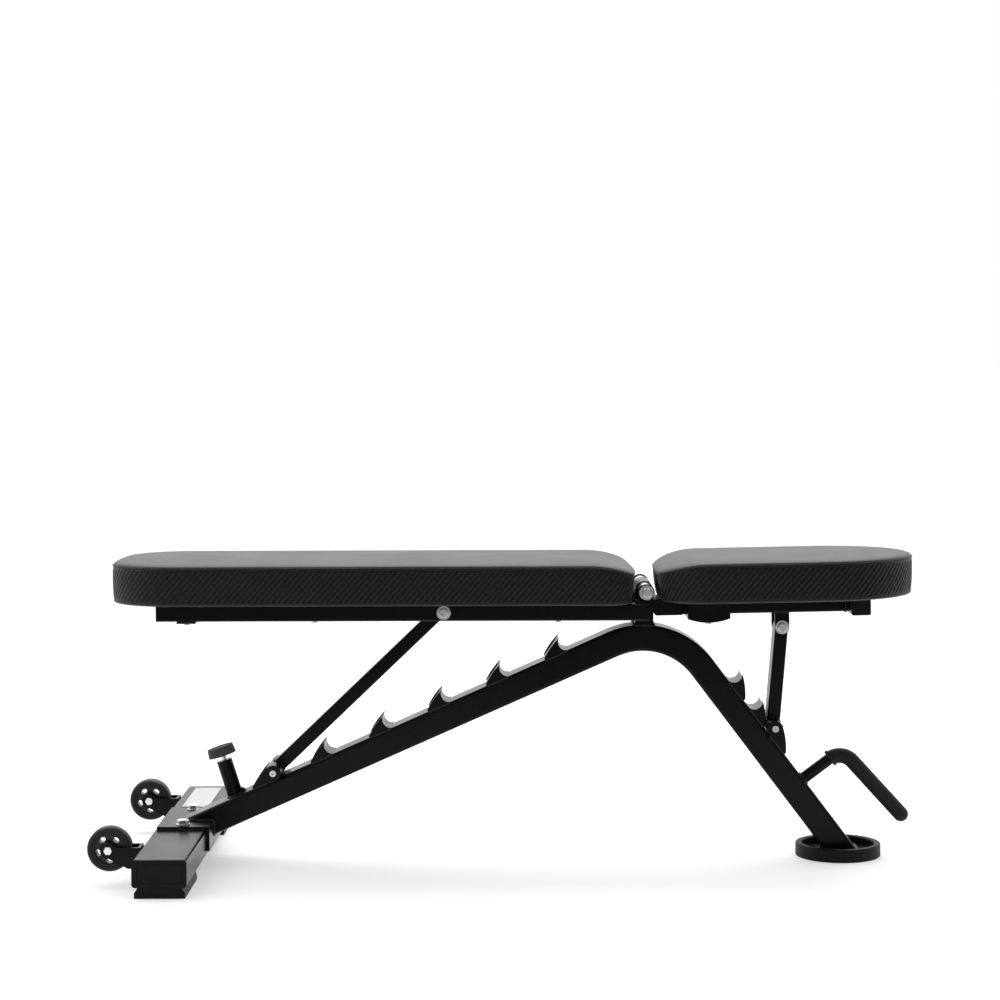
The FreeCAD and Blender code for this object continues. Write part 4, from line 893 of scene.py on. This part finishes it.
BACK_FOOT = sleeve_centre(BEAM_DIR, BEAM_UP, BACK_HOOK_FIRST + 7.2)
SEAT_FOOT = sleeve_centre(LEG_DIR, LEG_OUT, SEAT_HOOK_FIRST + 2 * SEAT_HOOK_PITCH - 9.5)
welds("frame_welds", "frame", frame_beads())
welds("backrest_welds", "backrest", backrest_beads())
welds("seat_welds", "seat_frame", seat_beads())
welds("back_strut_welds", "back_strut",
      strut_beads(PIVOT["back_strut_pivot"] / MM, BACK_FOOT, 12.5, True))
welds("seat_strut_welds", "seat_strut",
      strut_beads(PIVOT["seat_strut_pivot"] / MM, SEAT_FOOT, 20.0, False))

# ---------------------------------------------------------------- tyres

# Half of the section, from the hub round to the middle of the tread: (radius, offset from the middle).
TYRE_SECTION = [(24.2, -11.0), (25.2, -11.6), (26.4, -12.0), (27.0, -11.5), (27.6, -12.0), (28.8, -12.0),
                (29.6, -11.8), (30.6, -11.2), (31.5, -10.2), (32.2, -8.9), (32.6, -7.4), (32.7, -6.6),
                (32.3, -6.2), (32.3, -5.6), (32.7, -5.2), (32.7, -0.5), (32.4, 0.0)]
TYRE_STEPS, NICK_EVERY, NICK_STEPS, NICK_DEPTH = 240, 5, 2, 0.45


def tyre(side):
    """Solid tyre: sidewall step, radial nicks on the shoulder and three shallow grooves round the tread."""
    section = TYRE_SECTION + [(r, -w) for r, w in reversed(TYRE_SECTION[:-1])]
    x, y, z = PIVOT["wheel_%s_spin" % side] / MM
    points, faces = [], []
    for k in range(TYRE_STEPS):
        angle = 2 * math.pi * k / TYRE_STEPS
        nicked = k % NICK_EVERY < NICK_STEPS
        for r, w in section:
            if nicked and 8.0 < abs(w) < 11.4 and r > 30:
                r -= NICK_DEPTH
            points.append((x + r * math.cos(angle), y + w, z + r * math.sin(angle)))
    n = len(section)
    for k in range(TYRE_STEPS):
        a, b = k * n, (k + 1) % TYRE_STEPS * n
        faces += [(a + j, b + j, b + (j + 1) % n, a + (j + 1) % n) for j in range(n)]
    obj = mesh_object("tyre_" + side, np.array(points) * MM, faces, PAINT["tyre"])
    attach(obj, "wheel_" + side)
    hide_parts("wheel_tyre_" + side)


tyre("left")
tyre("right")

# ---------------------------------------------------------------- moulded detail


def cap_border(side, sign):
    """Raised line moulded round the outer face of the cross tube's cap."""
    (x0, y0, z0), (x1, y1, z1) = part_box("rear_caps")
    face = (y1 if sign > 0 else y0) / MM
    side_margin, end_margin, corner, thickness = 6.5, 6.0, 3.0, 0.9
    back, front = x0 / MM + side_margin + corner, x1 / MM - side_margin - corner
    low, high = z0 / MM + end_margin + corner, z1 / MM - end_margin - corner
    path = []
    for cx, cz, start in ((front, high, 0), (back, high, 90), (back, low, 180), (front, low, 270)):
        for turn in np.radians(start + np.arange(0, 91, 15)):
            path.append((cx + corner * math.cos(turn), face, cz + corner * math.sin(turn)))
    p, f = tube_mesh(path, np.full(len(path), thickness), 8, closed=True)
    border = mesh_object("cap_border_" + side, np.array(p) * MM, f, PAINT["cap"])
    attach(border, "frame")


cap_border("left", 1)
cap_border("right", -1)

# ---------------------------------------------------------------- floor

# It ends a little in front of the bench, so that the near sides stay dim.
FLOOR_FRONT, FLOOR_BACK, FLOOR_SIDE = -1.3, 400.0, 60.0
corners = [(-FLOOR_SIDE, FLOOR_FRONT, 0), (FLOOR_SIDE, FLOOR_FRONT, 0),
           (FLOOR_SIDE, FLOOR_BACK, 0), (-FLOOR_SIDE, FLOOR_BACK, 0)]
stage = mesh_object("floor", corners, [(0, 1, 2, 3)], floor_paint(), smooth=False)
